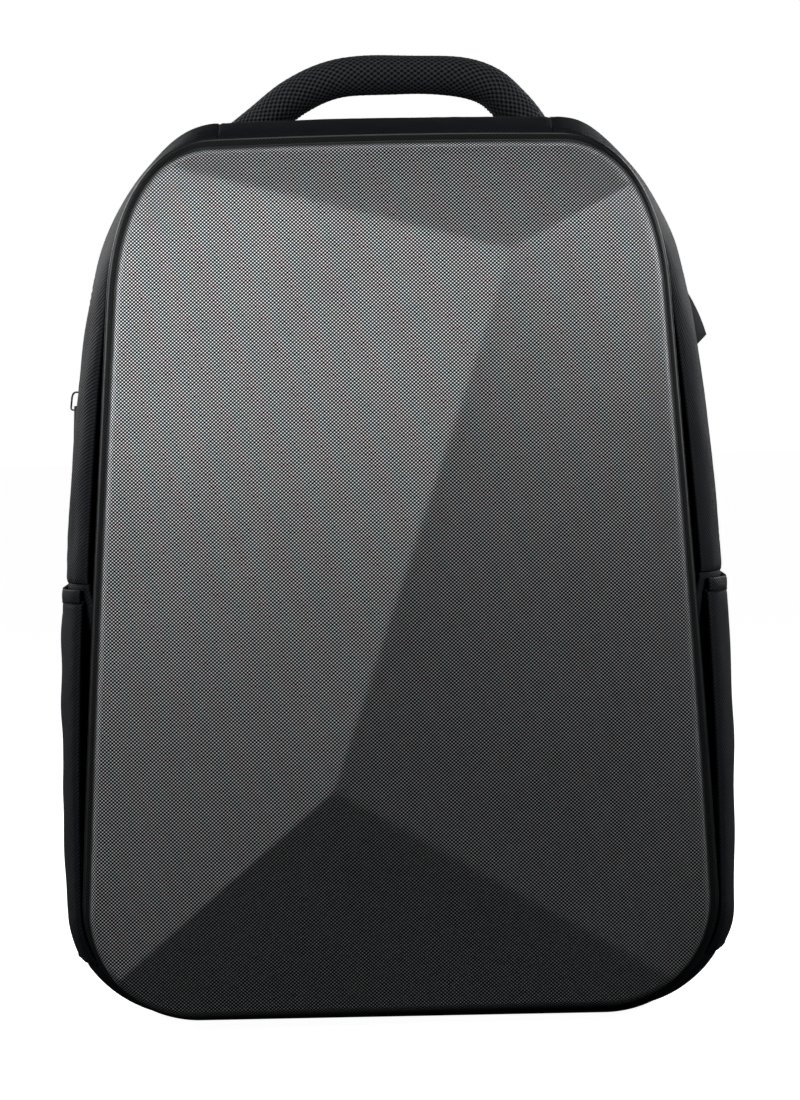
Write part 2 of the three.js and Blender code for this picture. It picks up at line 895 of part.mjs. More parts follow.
// Port hood: a rubber cover that swells downwards and is open below
function hoodShape(reach, height, bottom, back) {
  const shape = new THREE.Shape();
  shape.moveTo(back, bottom);
  shape.lineTo(reach, bottom + hoodReach * hoodCut);
  shape.quadraticCurveTo(reach * hoodSwell.out, mix(bottom, height, hoodSwell.up), back, height);
  return shape;
}

function makePortHood() {
  const outside = plateAcross(hoodShape(hoodReach, hoodHeight, 0, seamGap), hoodBreadth);
  const inside = plateAcross(
    hoodShape(hoodReach - hoodWall, hoodHeight - hoodRoof, -hoodReach, -hoodReach),
    hoodBreadth - 2 * hoodWall,
  );
  return fromManifold(toManifold(outside).subtract(toManifold(inside)));
}

const hoodFrame = sideFrame(hoodBottom, hoodDepth, false);
addPiece('port_hood', makePortHood(), 'rubber', hoodFrame);

// Zip slider on the left side, with its bridge, and the pull that hangs from it
const sliderFrame = sideFrame(sliderHeight, zipDepth, true);
const sliderSeat = teethHeight + 2 * seamGap - zipRecess;
const sliderTop = sliderSeat + sliderThickness;
const bridgeTop = sliderTop + bridgeHeight;

function makeSlider() {
  const half = sliderLength / 2;
  const side = sliderWidth / 2;
  const heel = sliderWidth * sliderHeelShare;
  const shoulder = half * sliderShoulderShare;
  const shield = new THREE.Shape();
  shield.moveTo(-heel, -half);
  shield.lineTo(heel, -half);
  shield.quadraticCurveTo(side, -shoulder, side, shoulder);
  shield.quadraticCurveTo(side, half, 0, half);
  shield.quadraticCurveTo(-side, half, -side, shoulder);
  shield.quadraticCurveTo(-side, -shoulder, -heel, -half);
  const plate = new THREE.ExtrudeGeometry(shield, {
    depth: sliderThickness,
    bevelEnabled: false,
    curveSegments: 4,
  });
  // The shield is drawn in x and y, and turned so that y becomes up and its depth points out
  plate.rotateX(Math.PI / 2);
  plate.rotateZ(Math.PI / 2);
  plate.translate(sliderSeat, 0, 0);
  const arch = new THREE.Shape();
  const low = -bridgeLength / 2;
  const high = bridgeLength / 2;
  const sink = sliderTop - sliderThickness / 2;
  arch.moveTo(sink, low);
  arch.lineTo(bridgeTop - bridgeFoot.rise, low);
  arch.quadraticCurveTo(bridgeTop, low, bridgeTop, low + bridgeFoot.length);
  arch.lineTo(bridgeTop, high - bridgeNose.length);
  arch.quadraticCurveTo(bridgeTop, high, bridgeTop - bridgeNose.rise, high);
  arch.lineTo(sink, high);
  const eye = new THREE.Path();
  const inside = bridgeTop - bridgeWire;
  eye.moveTo(sliderTop, low + bridgeWire);
  eye.lineTo(inside, low + bridgeWire);
  eye.lineTo(inside, high - bridgeNose.length);
  eye.quadraticCurveTo(inside, high - bridgeWire, inside - bridgeFoot.length, high - bridgeWire);
  eye.lineTo(sliderTop, high - bridgeWire);
  arch.holes.push(eye);
  const bridge = plateAcross(arch, bridgeWidth);
  return fromManifold(toManifold(plate).add(toManifold(bridge)));
}

addPiece('zip_slider', makeSlider(), 'metal', sliderFrame);

// The pull turns on its top bar, which lies across the bridge's eye
const barSize = pullThickness;
const pullPivot = new THREE.Vector3(
  sliderTop + pullClearance + barSize / 2,
  0,
  -bridgeLength / 2 + bridgeWire + pullClearance + barSize / 2,
);

function makePull() {
  const half = pullWidth / 2;
  const window = bridgeWidth / 2 + pullClearance;
  const top = barSize / 2;
  const bottom = top - pullLength;
  const shape = new THREE.Shape();
  shape.moveTo(-half, top);
  shape.lineTo(-half, bottom + half);
  shape.quadraticCurveTo(-half, bottom, 0, bottom);
  shape.quadraticCurveTo(half, bottom, half, bottom + half);
  shape.lineTo(half, top);
  const eye = new THREE.Path();
  eye.moveTo(-window, -barSize / 2);
  eye.lineTo(-window, -barSize / 2 - pullWindow);
  eye.lineTo(window, -barSize / 2 - pullWindow);
  eye.lineTo(window, -barSize / 2);
  shape.holes.push(eye);
  const plate = new THREE.ExtrudeGeometry(shape, { depth: pullThickness, bevelEnabled: false, curveSegments: 5 });
  plate.translate(0, 0, -pullThickness / 2);
  plate.rotateX(Math.PI / 2);
  plate.rotateZ(Math.PI / 2);
  return plate;
}

const pullFrame = new THREE.Group();
pullFrame.position.copy(pullPivot);
pullFrame.rotation.set(0, THREE.MathUtils.degToRad(pullLeanIn), 0);
sliderFrame.add(pullFrame);
addPiece('zip_pull', makePull(), 'metal', pullFrame);

// Shoulder straps, each with its buckle, webbing and anchor, mirrored for the other side.
// Along is a share of the way from the strap's top to its bottom, and lift of its clearance.
const strapRoute = [
  { along: 0, across: 0, lift: 0.02 },
  { along: 0.06, across: 0.04, lift: 0.035 },
  { along: 0.14, across: 0.14, lift: 0.14 },
  { along: 0.3, across: 0.42, lift: 0.62 },
  { along: 0.55, across: 0.72, lift: 1 },
  { along: 0.8, across: 0.92, lift: 0.85 },
  { along: 1, across: 1, lift: strapEndLift },
];

const strapWidths = [
  { share: 0, width: 0.82 },
  { share: 0.2, width: 0.96 },
  { share: 0.5, width: 1 },
  { share: 0.85, width: 0.8 },
  { share: 1, width: 0.56 },
];

function strapWidthAt(share) {
  const after = Math.max(1, strapWidths.findIndex((row) => row.share >= share));
  const a = strapWidths[after - 1];
  const b = strapWidths[after];
  return strapWidth * mix(a.width, b.width, (share - a.share) / (b.share - a.share));
}

function mirrored(geometry) {
  const position = geometry.getAttribute('position');
  const points = [];
  for (let i = 0; i < position.count; i += 1) {
    points.push(new THREE.Vector3(-position.getX(i), position.getY(i), position.getZ(i)));
  }
  const faces = [];
  for (let i = 0; i < geometry.index.count; i += 3) {
    faces.push([geometry.index.getX(i), geometry.index.getX(i + 1), geometry.index.getX(i + 2)]);
  }
  return facingOut(points, faces);
}

function makeStrap() {
  const face = backFace + seamGap + strapThickness / 2;
  const route = new THREE.CatmullRomCurve3(strapRoute.map((row) => new THREE.Vector3(
    mix(strapTopOffset, strapBottomOffset, row.across),
    yAt(face + row.lift * strapLift),
    mix(strapTop, strapBottom, row.along),
  )));
  const size = (share) => ({ width: strapWidthAt(share), thickness: strapThickness });
  return solidFromRings(bandRings(route, strapSteps, new THREE.Vector3(1, 0, 0), size, padSection), fanCap, fanCap);
}

// Frame of a buckle: y points away from the back and z up the webbing
const bucklePlace = new THREE.Vector3(
  strapBottomOffset + buckleAside,
  yAt(backFace + seamGap + strapThickness / 2 + strapLift * strapEndLift),
  strapBottom - buckleLength / 2 - buckleDrop,
);
const anchorPlace = new THREE.Vector3(
  anchorOffset,
  yAt(backFace + anchorThickness + 2 * seamGap + webbingThickness / 2),
  anchorLevel + anchorHeight * holdShare,
);
const webbingRise = bucklePlace.clone().sub(anchorPlace).normalize();
const webbingAcross = new THREE.Vector3(1, 0, 0);
webbingAcross.addScaledVector(webbingRise, -webbingAcross.dot(webbingRise)).normalize();
const webbingOut = webbingRise.clone().cross(webbingAcross).normalize();
const buckleBasis = new THREE.Matrix4().makeBasis(webbingAcross, webbingOut, webbingRise);
buckleBasis.setPosition(bucklePlace);

// Bars across the buckle, from its lower end to its upper end
const slotLength = (buckleLength - 3 * buckleBar) / 2;

function makeBuckle() {
  const halfWidth = buckleWidth / 2;
  const halfLength = buckleLength / 2;
  const inner = webbingWidth / 2 + 2 * seamGap;
  const plate = new THREE.Shape();
  plate.moveTo(-halfWidth, -halfLength);
  plate.lineTo(halfWidth, -halfLength);
  plate.lineTo(halfWidth, halfLength);
  plate.lineTo(-halfWidth, halfLength);
  for (const start of [buckleBar, 2 * buckleBar + slotLength]) {
    const slot = new THREE.Path();
    slot.moveTo(-inner, start - halfLength);
    slot.lineTo(-inner, start + slotLength - halfLength);
    slot.lineTo(inner, start + slotLength - halfLength);
    slot.lineTo(inner, start - halfLength);
    plate.holes.push(slot);
  }
  const geometry = plateAcross(plate, buckleThickness);
  geometry.applyMatrix4(buckleBasis);
  return mergeVertices(withPositionOnly(geometry), 1e-4);
}

function withPositionOnly(geometry) {
  geometry.deleteAttribute('normal');
  geometry.deleteAttribute('uv');
  return geometry;
}

// A ribbon of constant width through points in the plane of out and rise
function ribbon(route, width, thickness, basis) {
  const rings = route.map((point, i) => {
    const before = route[Math.max(i - 1, 0)];
    const after = route[Math.min(i + 1, route.length - 1)];
    const first = new THREE.Vector2().subVectors(point, before).normalize();
    const second = new THREE.Vector2().subVectors(after, point).normalize();
    const tangent = first.clone().add(second).normalize();
    const straight = i === 0 || i === route.length - 1;
    const stretch = straight ? 1 : 1 / Math.max(tangent.dot(first), 0.5);
    const half = (thickness / 2) * stretch;
    const normal = new THREE.Vector2(-tangent.y, tangent.x);
    const corner = (side, out) => new THREE.Vector3(
      side * (width / 2),
      point.x + normal.x * half * out,
      point.y + normal.y * half * out,
    ).applyMatrix4(basis);
    return [corner(1, -1), corner(1, 1), corner(-1, 1), corner(-1, -1)];
  });
  return solidFromRings(rings, fanCap, fanCap);
}

// The webbing climbs from its anchor behind the buckle, turns over the middle bar and comes
// back down as a tail between the lower bar and itself. Out and rise are in the buckle's frame.
function makeWebbing() {
  const clear = buckleThickness / 2 + webbingThickness / 2 + seamGap;
  const under = clear + webbingThickness + 2 * seamGap;
  const upperSlot = buckleBar / 2 + slotLength / 2;
  const lowerSlot = -upperSlot;
  const toBuckle = buckleBasis.clone().invert();
  const downTheBack = new THREE.Vector3(-webbingRise.x, 0, -webbingRise.z).normalize();
  const hemEnd = anchorPlace.clone().addScaledVector(downTheBack, anchorHeight * hemShare);
  const anchorAt = anchorPlace.clone().applyMatrix4(toBuckle);
  const hemAt = hemEnd.applyMatrix4(toBuckle);
  const tail = buckleLength * tailShare;
  const route = [
    [hemAt.y, hemAt.z],
    [anchorAt.y, anchorAt.z],
    [-under - webbingThickness, -buckleLength * webbingRun.start],
    [-under, -buckleLength * webbingRun.straight],
    [-under, lowerSlot],
    [-clear, 0],
    [-clear * webbingBend.out, upperSlot * webbingBend.rise],
    [0, upperSlot],
    [clear * webbingBend.out, upperSlot * webbingBend.rise],
    [clear, 0],
    [clear * webbingBend.out, lowerSlot * webbingBend.rise],
    [0, lowerSlot],
    [-clear, lowerSlot * webbingBend.leave],
    [-clear, -buckleLength * webbingRun.settle],
    [-clear, -buckleLength * webbingRun.straight],
    [-clear, -buckleLength / 2 - tail],
  ].map(([out, rise]) => new THREE.Vector2(out, rise));
  return ribbon(route, webbingWidth, webbingThickness, buckleBasis);
}

// Anchor: a flat triangular tab on the back panel's lower corner
function makeAnchor() {
  const half = anchorWidth / 2;
  const tab = new THREE.Shape();
  tab.moveTo(-half, 0);
  tab.lineTo(half, 0);
  tab.lineTo(webbingWidth / 2 + 1, anchorHeight);
  tab.lineTo(-webbingWidth / 2 - 1, anchorHeight);
  const geometry = plateAcross(tab, anchorThickness);
  geometry.translate(anchorOffset, yAt(backFace + seamGap + anchorThickness / 2), anchorLevel);
  return mergeVertices(withPositionOnly(geometry), 1e-4);
}

const strapPieces = [
  { name: 'shoulder_strap', geometry: makeStrap(), finish: 'mesh' },
  { name: 'strap_buckle', geometry: makeBuckle(), finish: 'plastic' },
  { name: 'strap_webbing', geometry: makeWebbing(), finish: 'webbing' },
  { name: 'strap_anchor', geometry: makeAnchor(), finish: 'webbing' },
];

for (const piece of strapPieces) {
  addPiece(`${piece.name}_right`, piece.geometry, piece.finish);
  addPiece(`${piece.name}_left`, mirrored(piece.geometry), piece.finish);
}

export default bag;
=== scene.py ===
# A hard shell backpack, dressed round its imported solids.
# Sizes are in millimetres here and become metres where a mesh is made. Depth is counted from
# the shell's rim backwards. A place on an outline is counted in curves: 0 is the middle of the
# bottom, 5 the middle of the top, and 10 the bottom again, up the right side first.

import math

import bmesh
import bpy
import numpy as np
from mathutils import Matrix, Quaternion, Vector


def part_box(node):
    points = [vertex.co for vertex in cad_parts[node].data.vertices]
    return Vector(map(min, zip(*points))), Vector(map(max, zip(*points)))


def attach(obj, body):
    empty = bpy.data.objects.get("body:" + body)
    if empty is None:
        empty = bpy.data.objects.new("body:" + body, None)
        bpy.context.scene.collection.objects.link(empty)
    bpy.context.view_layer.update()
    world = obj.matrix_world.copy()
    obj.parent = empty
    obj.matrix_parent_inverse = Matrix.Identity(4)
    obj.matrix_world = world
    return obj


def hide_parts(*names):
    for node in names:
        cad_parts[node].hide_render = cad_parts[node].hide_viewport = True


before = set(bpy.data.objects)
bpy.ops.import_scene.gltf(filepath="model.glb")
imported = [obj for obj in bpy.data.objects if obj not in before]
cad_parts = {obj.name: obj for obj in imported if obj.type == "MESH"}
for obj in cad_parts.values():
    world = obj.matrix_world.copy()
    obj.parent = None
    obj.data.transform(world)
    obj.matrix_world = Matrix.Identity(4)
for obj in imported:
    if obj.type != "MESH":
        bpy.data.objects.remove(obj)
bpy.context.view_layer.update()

MM = 0.001
TURN = 2 * math.pi


def node_box(node):
    low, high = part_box(node)
    return np.array(low) / MM, np.array(high) / MM


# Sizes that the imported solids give
shell_low, shell_high = node_box("front_shell")
back_low, back_high = node_box("back_panel")
RIM_Y = shell_high[1]
SHELL_DEPTH = shell_high[1] - shell_low[1]
BACK_START = back_low[1] - RIM_Y
BACK_FACE = back_high[1] - RIM_Y
PIPING_DEPTH = sum(box[1] for box in node_box("shell_piping")) / 2 - RIM_Y
GUSSET_START = node_box("top_panel")[0][1] - RIM_Y
BODY_DEPTH = node_box("rear_gusset")[1][1] - RIM_Y
ZIP_FRONT = node_box("zip_tape")[0][1] - RIM_Y
ZIP_BACK = node_box("zip_tape")[1][1] - RIM_Y
ZIP_DEPTH = (ZIP_FRONT + ZIP_BACK) / 2

# Sizes of the outlines, as in the part
BODY = dict(
    bottom=0, crest=423, low_half=156.5, corner_width=58, corner_height=50,
    shoulder_half=138.5, shoulder_height=352, crown_half=80, crown_drop=1,
    low_lean=-0.05, shoulder_lean=0.24, low_handle=0.33, high_handle=0.2, corner_pull=0.5,
)
SHELL = dict(
    BODY, bottom=6, crest=410, low_half=144.5, corner_width=50, corner_height=50,
    shoulder_half=127.2, shoulder_height=339,
    low_lean=0.045, shoulder_lean=0.07, high_handle=0.33, corner_pull=0.62,
)
CREASE_ENDS = dict(lower_right=1.44, upper_right=3.47, upper_left=6.29, lower_left=8.45)
FACET_RISE = 22
FACET_REACH = 135
CREASE_SOFTNESS = 0.3
UPPER_PEAK = dict(across=0.391, up=0.8725)
LOWER_PEAK = dict(across=-0.2035, up=0.262)
SHELL_ROUND = 3.5
SHELL_ROUND_DEPTH = 6
SHELL_WALL = 2.5
FLANGE_WIDTH = 3
FLANGE_THICKNESS = 2.2
PIPING_RADIUS = 2
CLOTH = 1.6
GAP = 0.3
TOP_HALF = 78
BASE_SEAM = 28
POCKET_SEAM = 207
POCKET_TOP = 199
HEM_HEIGHT = 5
HEM_LAP = 1.2
POCKET_SPACE = 7.5
POCKET_MARGIN = 1.5
ZIP_RECESS = 2.2

# The weave's colour is darkened to painted shade behind this depth in front of the rim, and its yarns
# are this wide
SHADED_EDGE_CLEAR = 8
YARN_ACROSS = 0.88
YARN_UP = 0.8

# The open cells of the handle's knit: their pitch along it, and how many go round its girth
HANDLE_CELL = 3.2
HANDLE_ROWS = 23
HANDLE_GIRTH = 73

# About how far the middle of the bag is from its rim, for spacing rings between them
RIM_REACH = 150


def mix(a, b, share):
    return a + (b - a) * share


def unit(vectors):
    return vectors / np.linalg.norm(vectors, axis=-1, keepdims=True)


def run_along(points):
    """Length run so far at each point of a line."""
    return np.concatenate([[0], np.cumsum(np.linalg.norm(np.diff(points, axis=0), axis=1))])


def at_depth(x, depth, z):
    """Points at these x and z, at a depth behind the shell's rim."""
    return np.stack([x, RIM_Y + depth + 0 * x, z], -1)


def add_object(name, data):
    thing = bpy.data.objects.new(name, data)
    bpy.context.scene.collection.objects.link(thing)
    return thing


def add_piece(name, mesh, material, nodes):
    """Adds an object that rides on the bag and takes the place of some nodes."""
    thing = add_object(name, mesh)
    thing.data.materials.append(material)
    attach(thing, "bag")
    if nodes:
        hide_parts(*nodes)
    return thing


def bezier(controls, share):
    """Point and tangent on a Bezier curve."""
    points = [np.array(control, float)[None, :] for control in controls]
    weight = share[:, None]
    while len(points) > 2:
        points = [mix(a, b, weight) for a, b in zip(points, points[1:])]
    return mix(points[0], points[1], weight), points[1] - points[0] + 0 * weight


class Outline:
    """Outline of the bag in a front view, as five curves up its right half."""

    def __init__(self, size):
        foot = size["low_half"] - size["corner_width"]
        low = size["bottom"] + size["corner_height"]
        height = size["shoulder_height"]
        side = height - low
        crown = size["crest"] - size["crown_drop"]
        corner = size["shoulder_half"] - size["shoulder_lean"] * (crown - height)
        low_handle = side * size["low_handle"]
        high_handle = side * size["high_handle"]
        pull = size["corner_pull"]
        shoulder = (size["shoulder_half"], height)
        crown_end = (size["crown_half"], crown)
        self.size = size
        self.corner_middle = np.array([foot, low])
        self.controls = {
            0: [(0, size["bottom"]), (foot, size["bottom"])],
            2: [
                (size["low_half"], low),
                (size["low_half"] - size["low_lean"] * low_handle, low + low_handle),
                (shoulder[0] + size["shoulder_lean"] * high_handle, height - high_handle),
                shoulder,
            ],
            3: [
                shoulder,
                (mix(shoulder[0], corner, pull), mix(height, crown, pull)),
                (mix(size["crown_half"], corner, pull), crown),
                crown_end,
            ],
            4: [crown_end, (size["crown_half"] / 2, size["crest"]), (0, size["crest"])],
        }
        steps = np.linspace(1, 5, 801)
        self.steps = steps
        self.step_x, self.step_z, _ = self.at(steps)

    def curve(self, piece, share):
        if piece != 1:
            return bezier(self.controls[piece], share)
        angle = (share - 1) * TURN / 4
        reach = np.array([self.size["corner_width"], self.size["corner_height"]])
        point = self.corner_middle + np.stack([np.cos(angle), np.sin(angle)], 1) * reach
        return point, np.stack([-np.sin(angle), np.cos(angle)], 1) * reach

    def at(self, place, inset=0):
        """x, z and outward normal at places, moved in along the normal by inset."""
        turned = np.mod(np.asarray(place, float), 10)
        flat = turned.ravel()
        right = flat <= 5
        along = np.where(right, flat, 10 - flat)
        piece = np.minimum(along.astype(int), 4)
        point = np.zeros((flat.size, 2))
        tangent = np.zeros((flat.size, 2))
        for curve in range(5):
            rows = piece == curve
            if rows.any():
                point[rows], tangent[rows] = self.curve(curve, (along - piece)[rows])
        tangent = unit(tangent)
        side = np.where(right, 1, -1)
        normal = np.stack([tangent[:, 1] * side, -tangent[:, 0]], 1)
        inset = np.broadcast_to(inset, turned.shape).ravel()
        x = point[:, 0] * side - normal[:, 0] * inset
        z = point[:, 1] - normal[:, 1] * inset
        shape = turned.shape
        return x.reshape(shape), z.reshape(shape), normal.reshape(shape + (2,))

    def at_height(self, height):
        rising = self.steps <= 4
        return float(np.interp(height, self.step_z[rising], self.steps[rising]))

    def at_offset(self, offset):
        top = self.steps >= 3
        return float(np.interp(-offset, -self.step_x[top], self.steps[top]))

    def places(self, start, end, step, fine=None):
        """Places from start to end at even lengths, closer together near both ends if fine is given."""
        many = np.linspace(start, end, 1200)
        run = run_along(np.stack(self.at(many)[:2], 1))
        return np.interp(spaced(run[-1], step, fine), run, many)


def spaced(length, step, fine=None):
    """Distances from 0 to length, a step apart, closer together near both ends if fine is given."""
    if fine is None:
        return np.linspace(0, length, max(2, int(round(length / step)) + 1))
    near = []
    at, stride = 0, fine
    while stride < step and at + stride < length / 3:
        at += stride
        near.append(at)
        stride *= 1.35
    near = np.array([0] + near)
    count = max(1, int(round((length - 2 * near[-1]) / step)))
    middle = np.linspace(near[-1], length - near[-1], count + 1)[1:-1]
    return np.concatenate([near, middle, (length - near)[::-1]])


def mixed_outline(spread):
    return Outline({key: mix(SHELL[key], BODY[key], spread) for key in BODY})


SHELL_OUTLINE = mixed_outline(0)
BODY_OUTLINE = mixed_outline(1)

# How the soft body swells behind the shell and closes at the back: share of the depth,
# spread from the shell's outline to the body's, and inset
PROFILE_DEPTH = [0, 0.13, 0.25, 0.38, 0.64, 0.86, 1]
PROFILE_SPREAD = [0.24, 0.72, 0.94, 1, 1, 1, 1]
PROFILE_INSET = [0, 0, 0, 0, 0, 0.4, 4]
_sections = {}


def eased(value, xs, ys):
    """Smooth curve through points, level where its neighbours turn back."""
    xs, ys = np.array(xs, float), np.array(ys, float)
    slopes = np.diff(ys) / np.diff(xs)
    inner = np.where(slopes[:-1] * slopes[1:] > 0, 2 * slopes[:-1] * slopes[1:], 0)
    inner = inner / np.where(inner == 0, 1, slopes[:-1] + slopes[1:])
    tangent = np.concatenate([[slopes[0]], inner, [slopes[-1]]])
    at = np.clip(value, xs[0], xs[-1])
    row = np.clip(np.searchsorted(xs, at) - 1, 0, len(xs) - 2)
    width = xs[row + 1] - xs[row]
    t = (at - xs[row]) / width
    rise = (2 * t ** 3 - 3 * t ** 2 + 1) * ys[row] + (3 * t ** 2 - 2 * t ** 3) * ys[row + 1]
    turn = (t ** 3 - 2 * t ** 2 + t) * tangent[row] + (t ** 3 - t ** 2) * tangent[row + 1]
    return rise + turn * width


def body_section(depth):
    """Outline and inset of the soft body at a depth."""
    key = round(float(depth), 3)
    if key not in _sections:
        share = min(max(depth / BODY_DEPTH, 0), 1)
        spread = float(eased(share, PROFILE_DEPTH, PROFILE_SPREAD))
        inset = float(eased(share, PROFILE_DEPTH, PROFILE_INSET))
        _sections[key] = (mixed_outline(spread), inset)
    return _sections[key]


def swell(points, size, seed):
    """Smooth irregular heights between about -1 and 1, with bumps of this size."""
    random = np.random.default_rng(seed)
    total = 0
    for _ in range(7):
        direction = unit(random.normal(size=3))
        stretch = random.uniform(0.7, 1.5)
        total = total + np.sin(points @ direction * (TURN / size * stretch) + random.uniform(0, TURN))
    return total / 3.2


# Dents and folds in the cloth: middle as offset, height and depth shares, size and rise
DENTS = [
    (0.6, 0.99, 0.3, 9, 0.5),
    (0.7, 0.965, 0.3, 7, -0.5),
    (-0.62, 0.985, 0.35, 9, 0.4),
    (0.99, 0.37, 0.45, 16, -1.2),
    (0.99, 0.31, 0.6, 14, 0.8),
    (-0.99, 0.28, 0.45, 20, -1.0),
]


def dents(points):
    rise = np.zeros(points.shape[:-1])
    for offset, height, depth, size, out in DENTS:
        middle = np.array([
            offset * BODY["low_half"], RIM_Y + depth * BODY_DEPTH, height * BODY["crest"],
        ])
        rise += out * np.exp(-((points - middle) ** 2).sum(-1) / size ** 2)
    return rise


class Builder:
    """Gathers grids of points into one mesh."""

    def __init__(self):
        self.points = []
        self.faces = []
        self.uvs = []
        self.count = 0

    def grid(self, points, uv=None, wrap_rows=False, wrap_cols=False):
        """Adds a grid. A wrapped direction joins its end to its start, where uv has one more."""
        rows, cols = points.shape[:2]
        row = np.arange(rows if wrap_rows else rows - 1)
        col = np.arange(cols if wrap_cols else cols - 1)
        row, col = np.meshgrid(row, col, indexing="ij")
        corners = [(row, col), (row + 1, col), (row + 1, col + 1), (row, col + 1)]
        index = [(r % rows) * cols + (c % cols) + self.count for r, c in corners]
        self.faces.append(np.stack(index, -1).reshape(-1, 4))
        if uv is None:
            uv = np.zeros((rows + 1, cols + 1, 2))
        self.uvs.append(np.stack([uv[r, c] for r, c in corners], 2).reshape(-1, 2))
        self.points.append(points.reshape(-1, 3))
        self.count += rows * cols

    def tube(self, rings, uv):
        """Adds a tube and closes both its ends."""
        self.grid(rings, uv, wrap_cols=True)
        for end in (rings[0], rings[-1]):
            middle = np.broadcast_to(end.mean(0), end.shape)
            self.grid(np.stack([end, middle]), wrap_cols=True)

    def wall(self, outer, inner, uv):
        """Adds a closed wall between two grids of the same size."""
        self.grid(outer, uv)
        self.grid(inner, uv)
        rims = [
            (outer[0], inner[0], uv[0]),
            (outer[-1], inner[-1], uv[-1]),
            (outer[:, 0], inner[:, 0], uv[:, 0]),
            (outer[:, -1], inner[:, -1], uv[:, -1]),
        ]
        for one, other, along in rims:
            self.grid(np.stack([one, other]), np.stack([along, along]))

    def piece(self, name, material, slot, nodes=(), weld=0.002):
        """Makes the gathered grids into a piece, with its seams closed."""
        mesh = bpy.data.meshes.new(name)
        faces = np.vstack(self.faces)
        mesh.from_pydata((np.vstack(self.points) * MM).tolist(), [], faces.tolist())
        layer = mesh.uv_layers.new(name="cloth")
        layer.data.foreach_set("uv", (np.vstack(self.uvs) * MM).ravel())
        work = bmesh.new()
        work.from_mesh(mesh)
        bmesh.ops.remove_doubles(work, verts=work.verts, dist=weld * MM)
        bmesh.ops.recalc_face_normals(work, faces=work.faces)
        for face in work.faces:
            face.smooth = True
        work.to_mesh(mesh)
        work.free()
        return add_piece(name, mesh, material, nodes)


# Materials


class Shader:
    """Short calls for making the nodes of one material."""

    def __init__(self, name, roughness, specular=0.5, metallic=0):
        self.material = bpy.data.materials.new(name)
        self.material.use_nodes = True
        self.nodes = self.material.node_tree.nodes
        self.links = self.material.node_tree.links
        self.skin = self.nodes["Principled BSDF"]
        self.set("Roughness", roughness)
        self.set("Specular IOR Level", specular)
        self.set("Metallic", metallic)

    def feed(self, socket, value):
        if isinstance(value, bpy.types.NodeSocket):
            self.links.new(value, socket)
        else:
            socket.default_value = value

    def set(self, name, value):
        self.feed(self.skin.inputs[name], value)

    def add(self, kind, inputs=(), output=0, **settings):
        node = self.nodes.new("ShaderNode" + kind)
        for key, value in settings.items():
            setattr(node, key, value)
        pairs = inputs.items() if isinstance(inputs, dict) else enumerate(inputs)
        for key, value in pairs:
            self.feed(node.inputs[key], value)
        return node.outputs[output]

    def math(self, operation, *values):
        return self.add("Math", values, operation=operation)

    def between(self, share, low, high):
        """A number from low to high as share goes from 0 to 1."""
        return self.add("MapRange", {"Value": share, "To Min": low, "To Max": high})

    def tint(self, share, low, high):
        """A colour from low to high as share goes from 0 to 1."""
        return self.add("Mix", {0: share, 6: (*low, 1), 7: (*high, 1)}, output=2, data_type="RGBA")

    def times(self, a, b):
        return self.math("MULTIPLY", a, b)

    def color(self, share, low, high):
        self.set("Base Color", self.tint(share, low, high))

    def noise(self, scale, detail):
        """Noise with this many bumps a metre."""
        return self.add("TexNoise", {"Vector": self.place(), "Scale": scale, "Detail": detail})

    def place(self):
        return self.add("TexCoord", output=3)

    def cloth(self):
        """u and v along the cloth, in metres."""
        pair = self.add("UVMap", uv_map="cloth")
        split = self.nodes.new("ShaderNodeSeparateXYZ")
        self.links.new(pair, split.inputs[0])
        return split.outputs[0], split.outputs[1]

    def wave(self, value, pitch):
        """From 0 to 1 and back at each pitch in metres."""
        turned = self.times(value, TURN / pitch)
        return self.math("MULTIPLY_ADD", self.math("COSINE", turned), -0.5, 0.5)

    def bump(self, height, distance, strength=1.0, under=None):
        inputs = {"Strength": strength, "Distance": distance, "Height": height}
        if under is not None:
            inputs["Normal"] = under
        normal = self.add("Bump", inputs)
        self.set("Normal", normal)
        return normal


